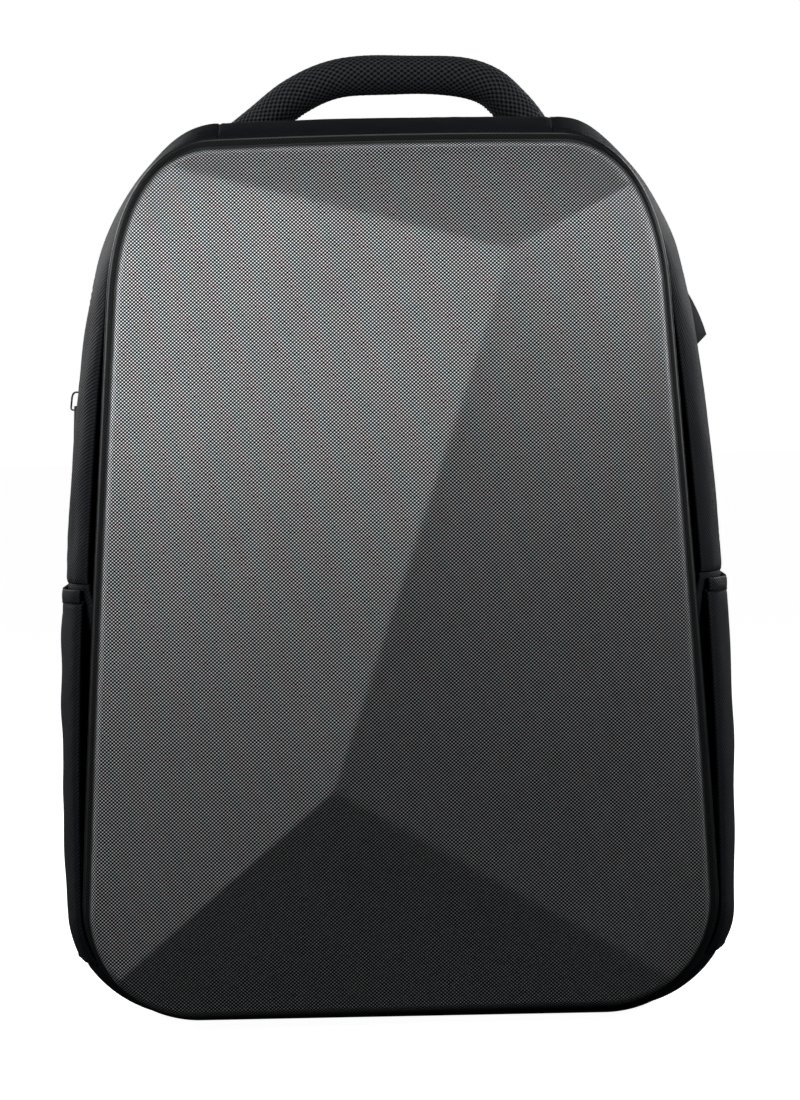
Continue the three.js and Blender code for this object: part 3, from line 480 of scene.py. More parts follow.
def weave_material():
    """Plain weave of glossy upright yarns over dark cross yarns, with painted shade on the shell's side
    and skirt and at the yarns' edges, and a painted highlight on their crowns.
    """
    shader = Shader("shell_weave", 0.5, 0.2, 0.75)
    shader.set("Anisotropic", 0.9)
    shader.set("Tangent", shader.add("Tangent", direction_type="UV_MAP", uv_map="cloth"))
    u, v = shader.cloth()
    across = shader.math("DIVIDE", u, YARN_ACROSS * MM)
    up = shader.math("DIVIDE", v, YARN_UP * MM)
    steps = shader.math("ADD", shader.math("FLOOR", across), shader.math("FLOOR", up))
    over = shader.math("FLOORED_MODULO", steps, 2.0)
    dome_across = shader.math("SINE", shader.times(shader.math("FRACT", across), math.pi))
    dome_up = shader.math("SINE", shader.times(shader.math("FRACT", up), math.pi))
    dome = shader.times(dome_across, dome_up)
    slub = shader.noise(900, detail=1.0)
    patch = shader.noise(14, detail=3.0)
    bright = shader.times(over, shader.between(slub, 0.88, 1.12))
    # Painted shade and painted highlight: each upright yarn's colour follows its dome, darker at its
    # edges and brighter on its crown.
    bright = shader.times(bright, shader.between(dome, 0.08, 1.25))
    bright = shader.times(bright, shader.between(patch, 0.9, 1.1))
    # Painted shade: the weave's colour falls to 2 per cent where the shell turns away from the front and
    # behind the rim's clear depth. This stands in for the shade on its rounded edge, skirt and flange,
    # and metallic and roughness change there too.
    geometry = shader.nodes.new("ShaderNodeNewGeometry")
    normal_depth = shader.add("SeparateXYZ", [geometry.outputs["True Normal"]], output=1)
    facing = shader.math("ABSOLUTE", normal_depth)
    face = shader.add("MapRange", {"Value": facing, "From Min": 0.42, "From Max": 0.7})
    depth = shader.add("SeparateXYZ", [shader.place()], output=1)
    raised = shader.math("LESS_THAN", depth, (RIM_Y - SHADED_EDGE_CLEAR) * MM)
    front = shader.times(face, raised)
    bright = shader.times(bright, shader.between(front, 0.02, 1.0))
    shader.color(bright, (0.0011, 0.0013, 0.0018), (0.92, 0.97, 1.0))
    shader.set("Metallic", shader.between(front, 0.0, 0.75))
    shader.set("Roughness", shader.between(front, 0.8, 0.6))
    shader.bump(shader.times(over, dome), 0.00002, 0.1)
    return shader.material


TWILL_PITCH = 0.0018


def twill_material(name, base, crest):
    """Black twill whose lines turn back along the crest of a band."""
    shader = Shader(name, 0.6, 0.1)
    u, v = shader.cloth()
    aside = shader.math("ABSOLUTE", shader.math("SUBTRACT", v, crest))
    line = shader.wave(shader.math("MULTIPLY_ADD", aside, 0.9, u), TWILL_PITCH)
    line = shader.math("POWER", line, 1.6)
    yarn = shader.wave(shader.math("SUBTRACT", u, aside), TWILL_PITCH / 2)
    patch = shader.noise(28, detail=4.0)
    fine = shader.noise(1100, detail=1.0)
    light = shader.times(line, shader.between(fine, 0.5, 1.3))
    high = tuple(c * 6 for c in base)
    light = shader.times(light, shader.between(patch, 0.6, 1.1))
    shader.color(light, base, high)
    shader.set("Roughness", shader.between(line, 0.7, 0.48))
    soft = shader.bump(patch, 0.0006, 0.25)
    height = shader.math("MULTIPLY_ADD", yarn, 0.3, line)
    shader.bump(height, 0.0002, 0.6, under=soft)
    return shader.material


def plain_material(name, color, roughness, bump, scale, metallic=0, specular=0.5):
    """Moulded, wrapped or cast stuff with a fine grain and a little wear."""
    shader = Shader(name, roughness, specular, metallic)
    grain = shader.noise(scale, detail=3.0)
    patch = shader.noise(60, detail=4.0)
    worn = tuple(c * 1.9 for c in color)
    share = shader.times(patch, shader.between(grain, 0.4, 1.0))
    shader.color(share, color, worn)
    shader.set("Roughness", shader.between(patch, roughness - 0.08, roughness + 0.1))
    shader.bump(grain, bump, 0.5)
    return shader.material


PAD_PITCH = 0.0036
PAD_COLOR = (0.009, 0.0095, 0.011)


def pad_material():
    """Padding fabric knitted with open diamond cells, coloured darker in the cells as painted shade."""
    shader = Shader("pad_knit", 0.6, 0.4)
    u, v = shader.cloth()
    right = shader.wave(shader.math("ADD", u, v), PAD_PITCH)
    left = shader.wave(shader.math("SUBTRACT", u, v), PAD_PITCH)
    knit = shader.math("MAXIMUM", right, left)
    cell = shader.math("POWER", knit, 0.7)
    fine = shader.noise(1900, detail=1.0)
    light = shader.times(cell, shader.between(fine, 0.5, 1.3))
    # Painted shade: the colour is darkest in the open cells, standing in for the shade inside them.
    low = tuple(c * 0.25 for c in PAD_COLOR)
    high = tuple(c * 2.1 for c in PAD_COLOR)
    shader.color(light, low, high)
    shader.set("Roughness", shader.between(fine, 0.5, 0.72))
    shader.set("Sheen Weight", 0.06)
    shader.bump(shader.math("MULTIPLY_ADD", fine, 0.12, cell), 0.0007, 0.8)
    return shader.material


RIB_PITCH = 0.0016


def webbing_material():
    """Close ribs across a band, with slanted yarns."""
    shader = Shader("webbing_ribs", 0.62, 0.4)
    u, v = shader.cloth()
    rib = shader.wave(v, RIB_PITCH)
    slant = shader.wave(shader.math("ADD", u, shader.times(v, 0.6)), RIB_PITCH * 0.6)
    fine = shader.noise(1500, detail=1.0)
    light = shader.times(slant, shader.between(fine, 0.5, 1.2))
    shader.color(light, (0.006, 0.0065, 0.0075), (0.022, 0.023, 0.026))
    shader.bump(shader.math("MULTIPLY_ADD", slant, 0.6, rib), 0.0002, 0.7)
    return shader.material


def handle_material():
    """Padding fabric with rows of oval holes between lighter knit, the holes coloured near black as
    painted shade.
    """
    shader = Shader("handle_knit", 0.62, 0.16)
    u, v = shader.cloth()
    along = shader.math("COSINE", shader.times(v, TURN / (HANDLE_CELL * MM)))
    around = shader.math("COSINE", shader.times(u, TURN * HANDLE_ROWS / (HANDLE_GIRTH * MM)))
    hole = shader.add("MapRange", {
        "Value": shader.times(along, around), "From Min": -0.1, "From Max": 0.08})
    fine = shader.noise(1700, detail=1.0)
    light = shader.times(shader.math("SUBTRACT", 1.0, hole), shader.between(fine, 0.45, 1.3))
    # Painted shade: the colour falls to near black in the holes, standing in for the shade inside them.
    shader.color(light, (0.0001, 0.0001, 0.0002), (0.033, 0.037, 0.044))
    shader.set("Roughness", shader.between(fine, 0.55, 0.75))
    rim = shader.bump(hole, -0.0003, 0.5)
    shader.bump(fine, 0.0001, 0.5, under=rim)
    return shader.material


weave = weave_material()
twill = twill_material("body_twill", (0.0012, 0.0016, 0.0024), -0.005)
handle_knit = handle_material()
pad_knit = pad_material()
ribs = webbing_material()
piping_wrap = plain_material("piping_wrap", (0.004, 0.0042, 0.005), 0.36, 0.00006, 1500, specular=0.25)
rubber = plain_material("rubber", (0.014, 0.0145, 0.016), 0.5, 0.00015, 1200)
plastic = plain_material("moulded_plastic", (0.010, 0.0105, 0.012), 0.4, 0.00004, 1600)
gunmetal = plain_material("gunmetal", (0.12, 0.125, 0.13), 0.32, 0.00002, 2500, metallic=1)
coil = plain_material("zip_coil", (0.010, 0.0105, 0.012), 0.38, 0.00002, 2500)
thread = plain_material("thread", (0.006, 0.0065, 0.0075), 0.7, 0.00004, 3000, specular=0.15)
hem_twill = twill_material("hem_twill", (0.0009, 0.0012, 0.0018), -0.1)


# Front shell


def peak(which):
    height = SHELL["crest"] - SHELL["bottom"]
    return np.array([which["across"] * SHELL["low_half"], SHELL["bottom"] + which["up"] * height])


UPPER = peak(UPPER_PEAK)
LOWER = peak(LOWER_PEAK)


def soft_max(a, b):
    """The larger of two, rounded where they meet."""
    near = np.maximum(CREASE_SOFTNESS - np.abs(a - b), 0) / CREASE_SOFTNESS
    return np.maximum(a, b) + near ** 2 * CREASE_SOFTNESS / 4


def ridge_planes(x, z):
    along = (UPPER - LOWER) / np.linalg.norm(UPPER - LOWER)
    away = (x - LOWER[0]) * along[1] - (z - LOWER[1]) * along[0]
    slope = FACET_RISE / FACET_REACH
    return away * slope - SHELL_DEPTH, -away * slope - SHELL_DEPTH


def end_plane(at, first, second):
    """Depth of the plane through a peak and the ends of its two creases."""
    corners = []
    for place in (first, second):
        x, z, _ = SHELL_OUTLINE.at(place, SHELL_ROUND)
        corners.append([float(x), max(float(d) for d in ridge_planes(x, z)), float(z)])
    top = np.array([at[0], -SHELL_DEPTH, at[1]])
    normal = np.cross(np.array(corners[0]) - top, np.array(corners[1]) - top)
    level = normal @ top
    return lambda x, z: (level - normal[0] * x - normal[2] * z) / normal[1]


TOP_FACET = end_plane(UPPER, CREASE_ENDS["upper_right"], CREASE_ENDS["upper_left"])
BOTTOM_FACET = end_plane(LOWER, CREASE_ENDS["lower_left"], CREASE_ENDS["lower_right"])


def face_depth(x, z):
    """Depth of the shell's face, the hindmost of its four facets."""
    depth, left = ridge_planes(x, z)
    for facet in (left, TOP_FACET(x, z), BOTTOM_FACET(x, z)):
        depth = soft_max(depth, facet)
    return depth


# Section of the flange's front, as distance out from the shell's side and depth
FLANGE_SECTION = [(0.05, -1.4), (0.4, -0.5), (1.1, -0.1), (2.6, 0), (FLANGE_WIDTH, 0.4)]
# How far the cloth has run past the rounded edge at each part of the shell's section
CLOTH_RUN = dict(skirt=12, flange=13, rim=18, wall=24, inside=30)
ROUND_STEPS = 9
SHELL_STEP = 2.1
SHELL_FINE_STEP = 0.7


def make_shell():
    runs = [
        (CREASE_ENDS["lower_right"], CREASE_ENDS["upper_right"], LOWER, UPPER),
        (CREASE_ENDS["upper_right"], CREASE_ENDS["upper_left"], UPPER, UPPER),
        (CREASE_ENDS["upper_left"], CREASE_ENDS["lower_left"], UPPER, LOWER),
        (CREASE_ENDS["lower_left"], CREASE_ENDS["lower_right"] + 10, LOWER, LOWER),
    ]
    places, cores = [], []
    for start, end, first, last in runs:
        stops = SHELL_OUTLINE.places(start, end, SHELL_STEP, SHELL_FINE_STEP)[:-1]
        share = (stops - start) / (end - start)
        places.append(stops)
        cores.append(mix(first[None, :], last[None, :], share[:, None]))
    places = np.concatenate(places)
    cores = np.vstack(cores)
    rim_x, rim_z, normal = SHELL_OUTLINE.at(places, SHELL_ROUND)

    rings, marks = [], []
    shares = spaced(RIM_REACH, 2.3, 0.6) / RIM_REACH
    for share in shares[:-1]:
        x, z = mix(cores[:, 0], rim_x, share), mix(cores[:, 1], rim_z, share)
        rings.append(at_depth(x, face_depth(x, z), z))
        marks.append(np.stack([x, z], 1))

    def edge(inset, depth, run):
        x, z, _ = SHELL_OUTLINE.at(places, inset)
        rings.append(at_depth(x, depth(x, z), z))
        marks.append(np.stack([rim_x, rim_z], 1) + normal * run)

    run = 0
    for step in range(ROUND_STEPS + 1):
        angle = step / ROUND_STEPS * TURN / 4
        inset = SHELL_ROUND * (1 - math.sin(angle))
        drop = SHELL_ROUND_DEPTH * (1 - math.cos(angle))
        edge(inset, lambda x, z: face_depth(x, z) + drop, run)
        run += (SHELL_ROUND + SHELL_ROUND_DEPTH) / 2 * (TURN / 4) / ROUND_STEPS
    low = -FLANGE_THICKNESS
    side = rings[-1][:, 1] - RIM_Y
    for share in (0.25, 0.5, 0.75):
        depth = mix(side, low + FLANGE_SECTION[0][1], share)
        edge(0, lambda x, z: depth, run + share * CLOTH_RUN["skirt"])
    for out, depth in FLANGE_SECTION:
        edge(-out, lambda x, z: low + depth, run + CLOTH_RUN["flange"] + out)
    edge(-FLANGE_WIDTH, lambda x, z: 0 * x, run + CLOTH_RUN["rim"])
    edge(SHELL_WALL, lambda x, z: 0 * x, run + CLOTH_RUN["wall"])
    for share in (1, 0.5, 0):
        angle = share * TURN / 4
        inset = SHELL_WALL + (SHELL_ROUND - SHELL_WALL / 2) * (1 - math.sin(angle))
        drop = SHELL_ROUND_DEPTH * (1 - math.cos(angle))
        edge(inset, lambda x, z: face_depth(x, z) + SHELL_WALL + drop, run + CLOTH_RUN["inside"])
    inner = rings[-1]
    for share in (0.75, 0.5, 0.25, 0.1, 0.0):
        x = mix(cores[:, 0], inner[:, 0], share)
        z = mix(cores[:, 1], inner[:, 2], share)
        rings.append(at_depth(x, face_depth(x, z) + SHELL_WALL, z))
        marks.append(np.stack([x, z], 1))
    grid = np.stack(rings)
    uv = np.stack(marks)
    uv = np.concatenate([uv, uv[:, :1]], 1)
    builder = Builder()
    builder.grid(grid, uv, wrap_cols=True)
    return builder.piece("shell_skin", weave, "shell_fabric", ["front_shell"])


make_shell()


# Piping round the shell


PIPING_SIDES = 14
PIPING_STEP = 2
PIPING_INSET = 0.5 - FLANGE_WIDTH


def make_piping():
    places = SHELL_OUTLINE.places(0, 10, PIPING_STEP)[:-1]
    x, z, normal = SHELL_OUTLINE.at(places, PIPING_INSET)
    angle = np.arange(PIPING_SIDES + 1) / PIPING_SIDES * TURN
    out = np.cos(angle)[None, :-1, None] * normal[:, None, :] * PIPING_RADIUS
    depth = np.broadcast_to(PIPING_DEPTH + np.sin(angle[:-1]) * PIPING_RADIUS, out.shape[:2])
    run = np.arange(len(places) + 1) * PIPING_STEP
    uv = np.stack(np.meshgrid(run, angle * PIPING_RADIUS, indexing="ij"), -1)
    builder = Builder()
    builder.grid(at_depth(x[:, None] + out[..., 0], depth, z[:, None] + out[..., 1]), uv,
                 wrap_rows=True, wrap_cols=True)
    builder.piece("piping", piping_wrap, "edge_piping", ["shell_piping"])


make_piping()


# Soft panels


def right_height(height):
    return lambda outline: outline.at_height(height)


def left_height(height):
    return lambda outline: 10 - outline.at_height(height)


def left_height_below(height):
    return lambda outline: -outline.at_height(height)


def right_top(offset):
    return lambda outline: outline.at_offset(offset)


def left_top(offset):
    return lambda outline: 10 - outline.at_offset(offset)


# How far from a seam the cloth rolls in, puckers and starts to puff, and the size of its
# puckers and wrinkles
ROLL_REACH = 1.3
SEAM_REACH = 1.5
PUCKER_REACH = 4
PUFF_REACH = 12
PUCKER_SIZE = 7
WRINKLE_SIZE = 34


def panel(name, material, slot, start, end, depth_from, depth_to, thickness=CLOTH, lift=0,
          lift_at=None, dented=True, step=2.2, roll=0.8, pucker=0.25, puff=0, wrinkle=0.35, seed=1):
    """A wall of cloth on the soft body between two marks and two depths, turned in at its seams."""
    wide = spaced(depth_to - depth_from, 2, 0.5)
    places = BODY_OUTLINE.places(start(BODY_OUTLINE), end(BODY_OUTLINE), step, 0.6)
    share = (places - places[0]) / (places[-1] - places[0])
    outer, inner = [], []
    run = run_along(np.stack(BODY_OUTLINE.at(places)[:2], 1))
    from_end = np.minimum(run, run[-1] - run)
    for across in wide:
        depth = depth_from + across
        outline, inset = body_section(depth)
        at = mix(start(outline), end(outline), share)
        x, z, normal = outline.at(at, inset)
        body = at_depth(x, depth, z)
        from_seam = min(across, wide[-1] - across)
        rise = np.full(len(share), float(lift))
        if lift_at is not None:
            rise += lift_at(share, across / wide[-1])
        if dented:
            rise += dents(body)
        rise -= roll * (np.exp(-(from_seam / ROLL_REACH) ** 2) + np.exp(-(from_end / ROLL_REACH) ** 2))
        from_edge = np.minimum(from_seam, from_end)
        close = np.exp(-from_edge / PUCKER_REACH)
        off_seam = 1 - np.exp(-(from_edge / SEAM_REACH) ** 2)
        rise += pucker * close * swell(body, PUCKER_SIZE, seed) * off_seam
        middle = np.sin(np.pi * np.clip(across / wide[-1], 0, 1)) * np.clip(from_end / PUFF_REACH, 0, 1)
        rise += middle * (puff + wrinkle * swell(body, WRINKLE_SIZE, seed + 5))
        for grid, off in ((outer, 0), (inner, thickness)):
            x, z, _ = outline.at(at, inset - rise + off)
            grid.append(np.stack([x, body[:, 1], z], -1))
    uv = np.stack(np.meshgrid(run, wide - wide[-1] / 2, indexing="ij"), -1)
    builder = Builder()
    builder.wall(np.stack(outer, 1), np.stack(inner, 1), uv)
    return builder.piece(name + "_cloth", material, slot, [name])


HALF_GAP = GAP / 2
front = dict(depth_from=GUSSET_START, depth_to=ZIP_FRONT - GAP)
panel("front_gusset_right", twill, "body_fabric", right_height(POCKET_SEAM + HALF_GAP),
      right_top(TOP_HALF + HALF_GAP), puff=0.3, roll=0.4, seed=3, **front)
panel("top_panel", twill, "body_fabric", right_top(TOP_HALF - HALF_GAP), left_top(TOP_HALF - HALF_GAP),
      puff=0.2, wrinkle=0.2, roll=0.4, seed=4, **front)
panel("front_gusset_left", twill, "body_fabric", left_top(TOP_HALF + HALF_GAP),
      left_height(POCKET_SEAM + HALF_GAP), puff=0.3, roll=0.4, seed=5, **front)
over_top = (right_height(POCKET_SEAM + HALF_GAP), left_height(POCKET_SEAM + HALF_GAP))
panel("zip_tape", ribs, "webbing", *over_top, ZIP_FRONT, ZIP_BACK, thickness=1.2, lift=-ZIP_RECESS,
      dented=False, roll=0.3, wrinkle=0, pucker=0.1, seed=6)
panel("rear_gusset", twill, "body_fabric", *over_top, ZIP_BACK + GAP, BODY_DEPTH, puff=0.8, seed=7)
panel("base_panel", twill, "body_fabric", left_height_below(BASE_SEAM - HALF_GAP),
      right_height(BASE_SEAM - HALF_GAP), GUSSET_START, BODY_DEPTH, thickness=2 * CLOTH,
      wrinkle=0.25, seed=8)


def dip(share):
    """How far the side falls in behind its pocket, from its foot up."""
    return -POCKET_SPACE * eased(share, [0, 0.2, 0.86, 0.97, 1], [0, 1, 1, 0.3, 0])


for side, mark, turned in (("right", right_height, False), ("left", left_height, True)):
    def between(low, high):
        pair = (mark(low), mark(high))
        return pair[::-1] if turned else pair

    def upwards(share):
        return 1 - share if turned else share

    seed = 20 if turned else 30
    panel(f"side_panel_{side}", twill, "body_fabric",
          *between(BASE_SEAM + HALF_GAP, POCKET_SEAM - HALF_GAP), GUSSET_START, BODY_DEPTH,
          lift_at=lambda share, across: dip(upwards(share)), seed=seed)
    inner_from = GUSSET_START + POCKET_MARGIN
    inner_to = BODY_DEPTH - POCKET_MARGIN
    panel(f"side_pocket_{side}", twill, "body_fabric",
          *between(BASE_SEAM + HALF_GAP, POCKET_TOP - HALF_GAP), inner_from, inner_to,
          lift=CLOTH + GAP - 0.4, puff=0.2, wrinkle=0.45, seed=seed + 1)
    panel(f"pocket_hem_{side}", hem_twill, "body_fabric",
          *between(POCKET_TOP - HEM_LAP, POCKET_TOP + HEM_HEIGHT), inner_from, inner_to,
          thickness=CLOTH, lift=CLOTH + GAP + 0.15, step=0.8, roll=0.25, wrinkle=0.2, seed=seed + 2)


def smooth_route(points, step):
    """Even points on a smooth curve through the given ones, with the length run so far."""
    points = np.array(points, float)
    guide = np.vstack([2 * points[0] - points[1], points, 2 * points[-1] - points[-2]])
    dense = []
    t = np.linspace(0, 1, 40, endpoint=False)[:, None]
    for a, b, c, d in zip(guide, guide[1:], guide[2:], guide[3:]):
        first, second, third = (np.linalg.norm(q - p) ** 0.5 for p, q in ((a, b), (b, c), (c, d)))
        leave = ((b - a) / first - (c - a) / (first + second) + (c - b) / second) * second
        arrive = ((c - b) / second - (d - b) / (second + third) + (d - c) / third) * second
        dense.append((2 * t ** 3 - 3 * t ** 2 + 1) * b + (t ** 3 - 2 * t ** 2 + t) * leave
                     + (3 * t ** 2 - 2 * t ** 3) * c + (t ** 3 - t ** 2) * arrive)
    dense = np.vstack(dense + [points[-1:]])
    run = run_along(dense)
    even = np.linspace(0, run[-1], max(2, int(run[-1] / step) + 1))
    return np.stack([np.interp(even, run, dense[:, k]) for k in range(3)], 1), even


def frames(line, across):
    """Side and up directions square to a line."""
    tangent = unit(np.gradient(line, axis=0))
    across = np.array(across, float)
    side = unit(across - (tangent @ across)[:, None] * tangent)
    return side, np.cross(side, tangent)


# Handle: knitted padding with open cells, arched over the top

HANDLE_DEPTH = 85
HANDLE_HEIGHT = 34.5
HANDLE_SPAN = 138
HANDLE_BREADTH = 26
HANDLE_THICKNESS = 19
HANDLE_STEP = 0.62
HANDLE_SIDES = 132
HANDLE_CELL_DEEP = 0.9
STRAND_HEIGHT = 0.1
LUMP_HEIGHT = 0.2
GATHER_HEIGHT = 0.35
GATHER_PITCH = 2.1
# The route along its middle, as shares of half the span and of the height
HANDLE_ROUTE = [
    (-1.3, -0.65), (-0.89, -0.02), (-0.62, 0.39), (-0.34, 0.62), (0.1, 0.66),
    (0.56, 0.6), (0.74, 0.46), (0.87, 0.22), (0.97, -0.02), (1.15, -0.6),
]


def make_handle():
    line, run = smooth_route([
        (along * HANDLE_SPAN / 2, RIM_Y + HANDLE_DEPTH, BODY["crest"] + up * HANDLE_HEIGHT)
        for along, up in HANDLE_ROUTE
    ], HANDLE_STEP)
    side, up = frames(line, (0, 1, 0))
    angle = np.arange(HANDLE_SIDES) / HANDLE_SIDES * TURN
    around = angle / TURN * HANDLE_GIRTH
    ring = np.cos(angle * HANDLE_ROWS)[None, :]
    length = np.cos(run / HANDLE_CELL * TURN)[:, None]
    hole = np.clip((ring * length - 0.12) / 0.6, 0, 1) ** 0.7
    strand = STRAND_HEIGHT * np.clip(-ring * length, 0, 1)
    share = run / run[-1]
    bend = np.exp(-((share - 0.2) / 0.09) ** 2) + 0.7 * np.exp(-((share - 0.8) / 0.05) ** 2)
    under = np.clip(np.sin(angle), 0, 1)[None, :] ** 1.5
    gather = GATHER_HEIGHT * bend[:, None] * under * np.sin(run * TURN / GATHER_PITCH)[:, None]
    lumps = LUMP_HEIGHT * swell(line, 45, 2)[:, None]
    relief = lumps + gather + strand - HANDLE_CELL_DEEP * hole * (1 - 0.5 * under)
    wide = HANDLE_BREADTH / 2 - 0.2 + relief
    thick = HANDLE_THICKNESS / 2 - 0.1 + relief
    grid = (line[:, None, :] + side[:, None, :] * (np.cos(angle)[None, :] * wide)[..., None]
            + up[:, None, :] * (np.sin(angle)[None, :] * thick)[..., None])
    uv = np.stack(np.meshgrid(run, np.append(around, HANDLE_GIRTH), indexing="ij")[::-1], -1)
    builder = Builder()
    builder.tube(grid, uv)
    piece = builder.piece("handle_padding", handle_knit, "mesh_padding", ["handle"])


make_handle()


# Zip: two rows of coil teeth that take turns

TOOTH_PITCH = 1.45
TOOTH_OFFSET = 0.75
TOOTH_SLANT = 0.12
TOOTH_LENGTH = 3.6
TOOTH_WIDTH = 1.35
TOOTH_HEIGHT = 1.1
TOOTH_LIFT = 0.55
TOOTH_SIDES = 6
# Rings along a tooth, as share of its length and of its girth
TOOTH_RINGS = [(-0.5, 0.0), (-0.42, 0.8), (0.0, 1.0), (0.42, 0.8), (0.5, 0.0)]


def on_body(places, depth, lift):
    """Points on the soft body with the directions out, along and back."""
    outline, inset = body_section(depth)
    x, z, normal = outline.at(places, inset - lift)
    out = np.stack([normal[:, 0], np.zeros(len(x)), normal[:, 1]], 1)
    back = np.broadcast_to([0.0, 1.0, 0.0], out.shape)
    along = np.cross(out, back)
    return at_depth(x, depth, z), out, along, back


def make_teeth():
    outline, _ = body_section(ZIP_DEPTH)
    start, end = (mark(outline) for mark in over_top)
    places = outline.places(start, end, TOOTH_PITCH)
    lift = GAP + TOOTH_LIFT - ZIP_RECESS
    angle = np.arange(TOOTH_SIDES) / TOOTH_SIDES * TURN
    aside = np.cos(angle)[:, None] * TOOTH_WIDTH / 2
    above = np.sin(angle)[:, None] * TOOTH_HEIGHT / 2
    builder = Builder()
    for row, side in ((places[::2], -1), (places[1::2], 1)):
        for middle, out, along, back in zip(*on_body(row, ZIP_DEPTH, lift)):
            start = middle + back * side * TOOTH_OFFSET
            length = (back * side + along * TOOTH_SLANT) * TOOTH_LENGTH
            ring = along * aside + out * above
            builder.grid(np.stack([start + length * share + ring * size for share, size in TOOTH_RINGS]),
                         wrap_cols=True)
    builder.piece("coil_teeth", coil, "zip_teeth", ["zip_teeth"], weld=0.0005)


make_teeth()


# Carried-over solids with rounded edges


def dress(node, material, bevel):
    """Gives a solid its material and rounds its edges without changing its mesh."""
    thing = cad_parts[node]
    thing.data.materials.clear()
    thing.data.materials.append(material)
    weld = thing.modifiers.new("weld", "WELD")
    weld.merge_threshold = 0.00001
    rounding = thing.modifiers.new("rounding", "BEVEL")
    rounding.width = bevel * MM
    rounding.segments = 3
    rounding.limit_method = "ANGLE"
    rounding.angle_limit = math.radians(35)
    rounding.harden_normals = True
    rounding.use_clamp_overlap = True
    for face in thing.data.polygons:
        face.use_smooth = True


dress("zip_slider", gunmetal, 0.25)
dress("zip_pull", gunmetal, 0.25)
dress("port_hood", rubber, 0.5)
for side in ("right", "left"):
    dress(f"strap_buckle_{side}", plastic, 0.6)


# Flat cloth and webbing over a solid: its own shape, evenly divided, with soft edges


COVER_CELL = 2.4
COVER_ROUND = 0.45
COVER_RIPPLE = 0.12


def cover(node, name):
    """Webbing with the shape of an upright flat solid, with u across and v up."""
    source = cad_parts[node]
    work = bmesh.new()
    work.from_mesh(source.data)
    work.transform(source.matrix_world)
    bmesh.ops.remove_doubles(work, verts=work.verts, dist=0.00001)
    bmesh.ops.dissolve_limit(work, angle_limit=math.radians(1), verts=work.verts, edges=work.edges)
    sharp = [
        edge for edge in work.edges
        if len(edge.link_faces) == 2 and edge.calc_face_angle(0) > math.radians(40)
    ]
    bmesh.ops.bevel(work, geom=sharp, offset=COVER_ROUND * MM, segments=2, profile=0.5,
                    affect="EDGES", clamp_overlap=True)
    bmesh.ops.triangulate(work, faces=work.faces)
    for _ in range(6):
        long_edges = [edge for edge in work.edges if edge.calc_length() > COVER_CELL * MM]
        if not long_edges:
            break
        bmesh.ops.subdivide_edges(work, edges=long_edges, cuts=1)
        bmesh.ops.triangulate(work, faces=work.faces)
    bmesh.ops.recalc_face_normals(work, faces=work.faces)
    places = np.array([vertex.co[:] for vertex in work.verts]) / MM
    rise = COVER_RIPPLE * (swell(places, 9, 4) - 1)
    for vertex, out in zip(work.verts, rise):
        vertex.co += vertex.normal * float(out) * MM
    layer = work.loops.layers.uv.new("cloth")
    for face in work.faces:
        face.smooth = True
        for loop in face.loops:
            loop[layer].uv = (loop.vert.co.x, loop.vert.co.z)
    mesh = bpy.data.meshes.new(name)
    work.to_mesh(mesh)
    work.free()
    add_piece(name, mesh, ribs, [node])


for side in ("right", "left"):
    for part in ("anchor", "webbing"):
        cover(f"strap_{part}_{side}", f"strap_{part}_cloth_{side}")


# Stitches beside the seams of the bag


STITCH_LENGTH = 2.4
STITCH_GAP = 0.9
STITCH_RADIUS = 0.22
# Rings along a stitch: share of its length, then size and lift as shares of its radius
STITCH_RINGS = np.array([[0, 0.12, 0.5, 0.88, 1], [0.35, 0.9, 1, 0.9, 0.35], [-1, -0.3, 0.1, -0.3, -1]])


def stitch_row(builder, points, out):
    """A row of short raised stitches along a line of points, with the way out at each point."""
    points = np.array(points, float)
    out = np.array(out, float)
    run = run_along(points)
    share, size, lift = STITCH_RINGS * [[STITCH_LENGTH], [STITCH_RADIUS], [STITCH_RADIUS]]
    angle = np.arange(5) / 5 * TURN
    for start in np.arange(STITCH_GAP, run[-1] - STITCH_LENGTH, STITCH_LENGTH + STITCH_GAP):
        middle = np.stack([np.interp(start + share, run, points[:, k]) for k in range(3)], 1)
        way = unit(np.stack([np.interp(start + share, run, out[:, k]) for k in range(3)], 1))
        aside = np.cross(unit(np.gradient(middle, axis=0)), way)
        up = lift[:, None] + np.sin(angle)[None] * size[:, None]
        rings = (middle[:, None] + way[:, None] * up[..., None]
                 + aside[:, None] * (np.cos(angle)[None] * size[:, None])[..., None])
        builder.grid(rings, wrap_cols=True)


def seam_stitches():
    builder = Builder()
    for depth in (ZIP_FRONT - 3.2, ZIP_BACK + 3.4):
        outline, inset = body_section(depth)
        start, end = (mark(outline) for mark in over_top)
        places = outline.places(start + 0.02, end - 0.02, 1.6)
        x, z, normal = outline.at(places, inset + 0.12)
        points = at_depth(x, depth, z)
        out = np.stack([normal[:, 0], 0 * x, normal[:, 1]], 1)
        points = points + out * dents(points)[:, None]
        stitch_row(builder, points, out)
    for mark in (right_height, left_height):
        for height in (POCKET_TOP - 1.6, BASE_SEAM + 3):
            points, out = [], []
            for depth in np.arange(GUSSET_START + 5, BODY_DEPTH - 5, 1.5):
                outline, inset = body_section(depth)
                x, z, normal = outline.at(mark(height)(outline), inset - CLOTH - GAP + 0.2)
                points.append([float(x), RIM_Y + depth, float(z)])
                out.append([float(normal[0]), 0, float(normal[1])])
            points = np.array(points) + np.array(out) * dents(np.array(points))[:, None]
            stitch_row(builder, points, out)
    builder.piece("seam_stitches", thread, "body_fabric", weld=0.0005)


seam_stitches()


# Back panel: padded knit with raised pads between channels and a bound edge

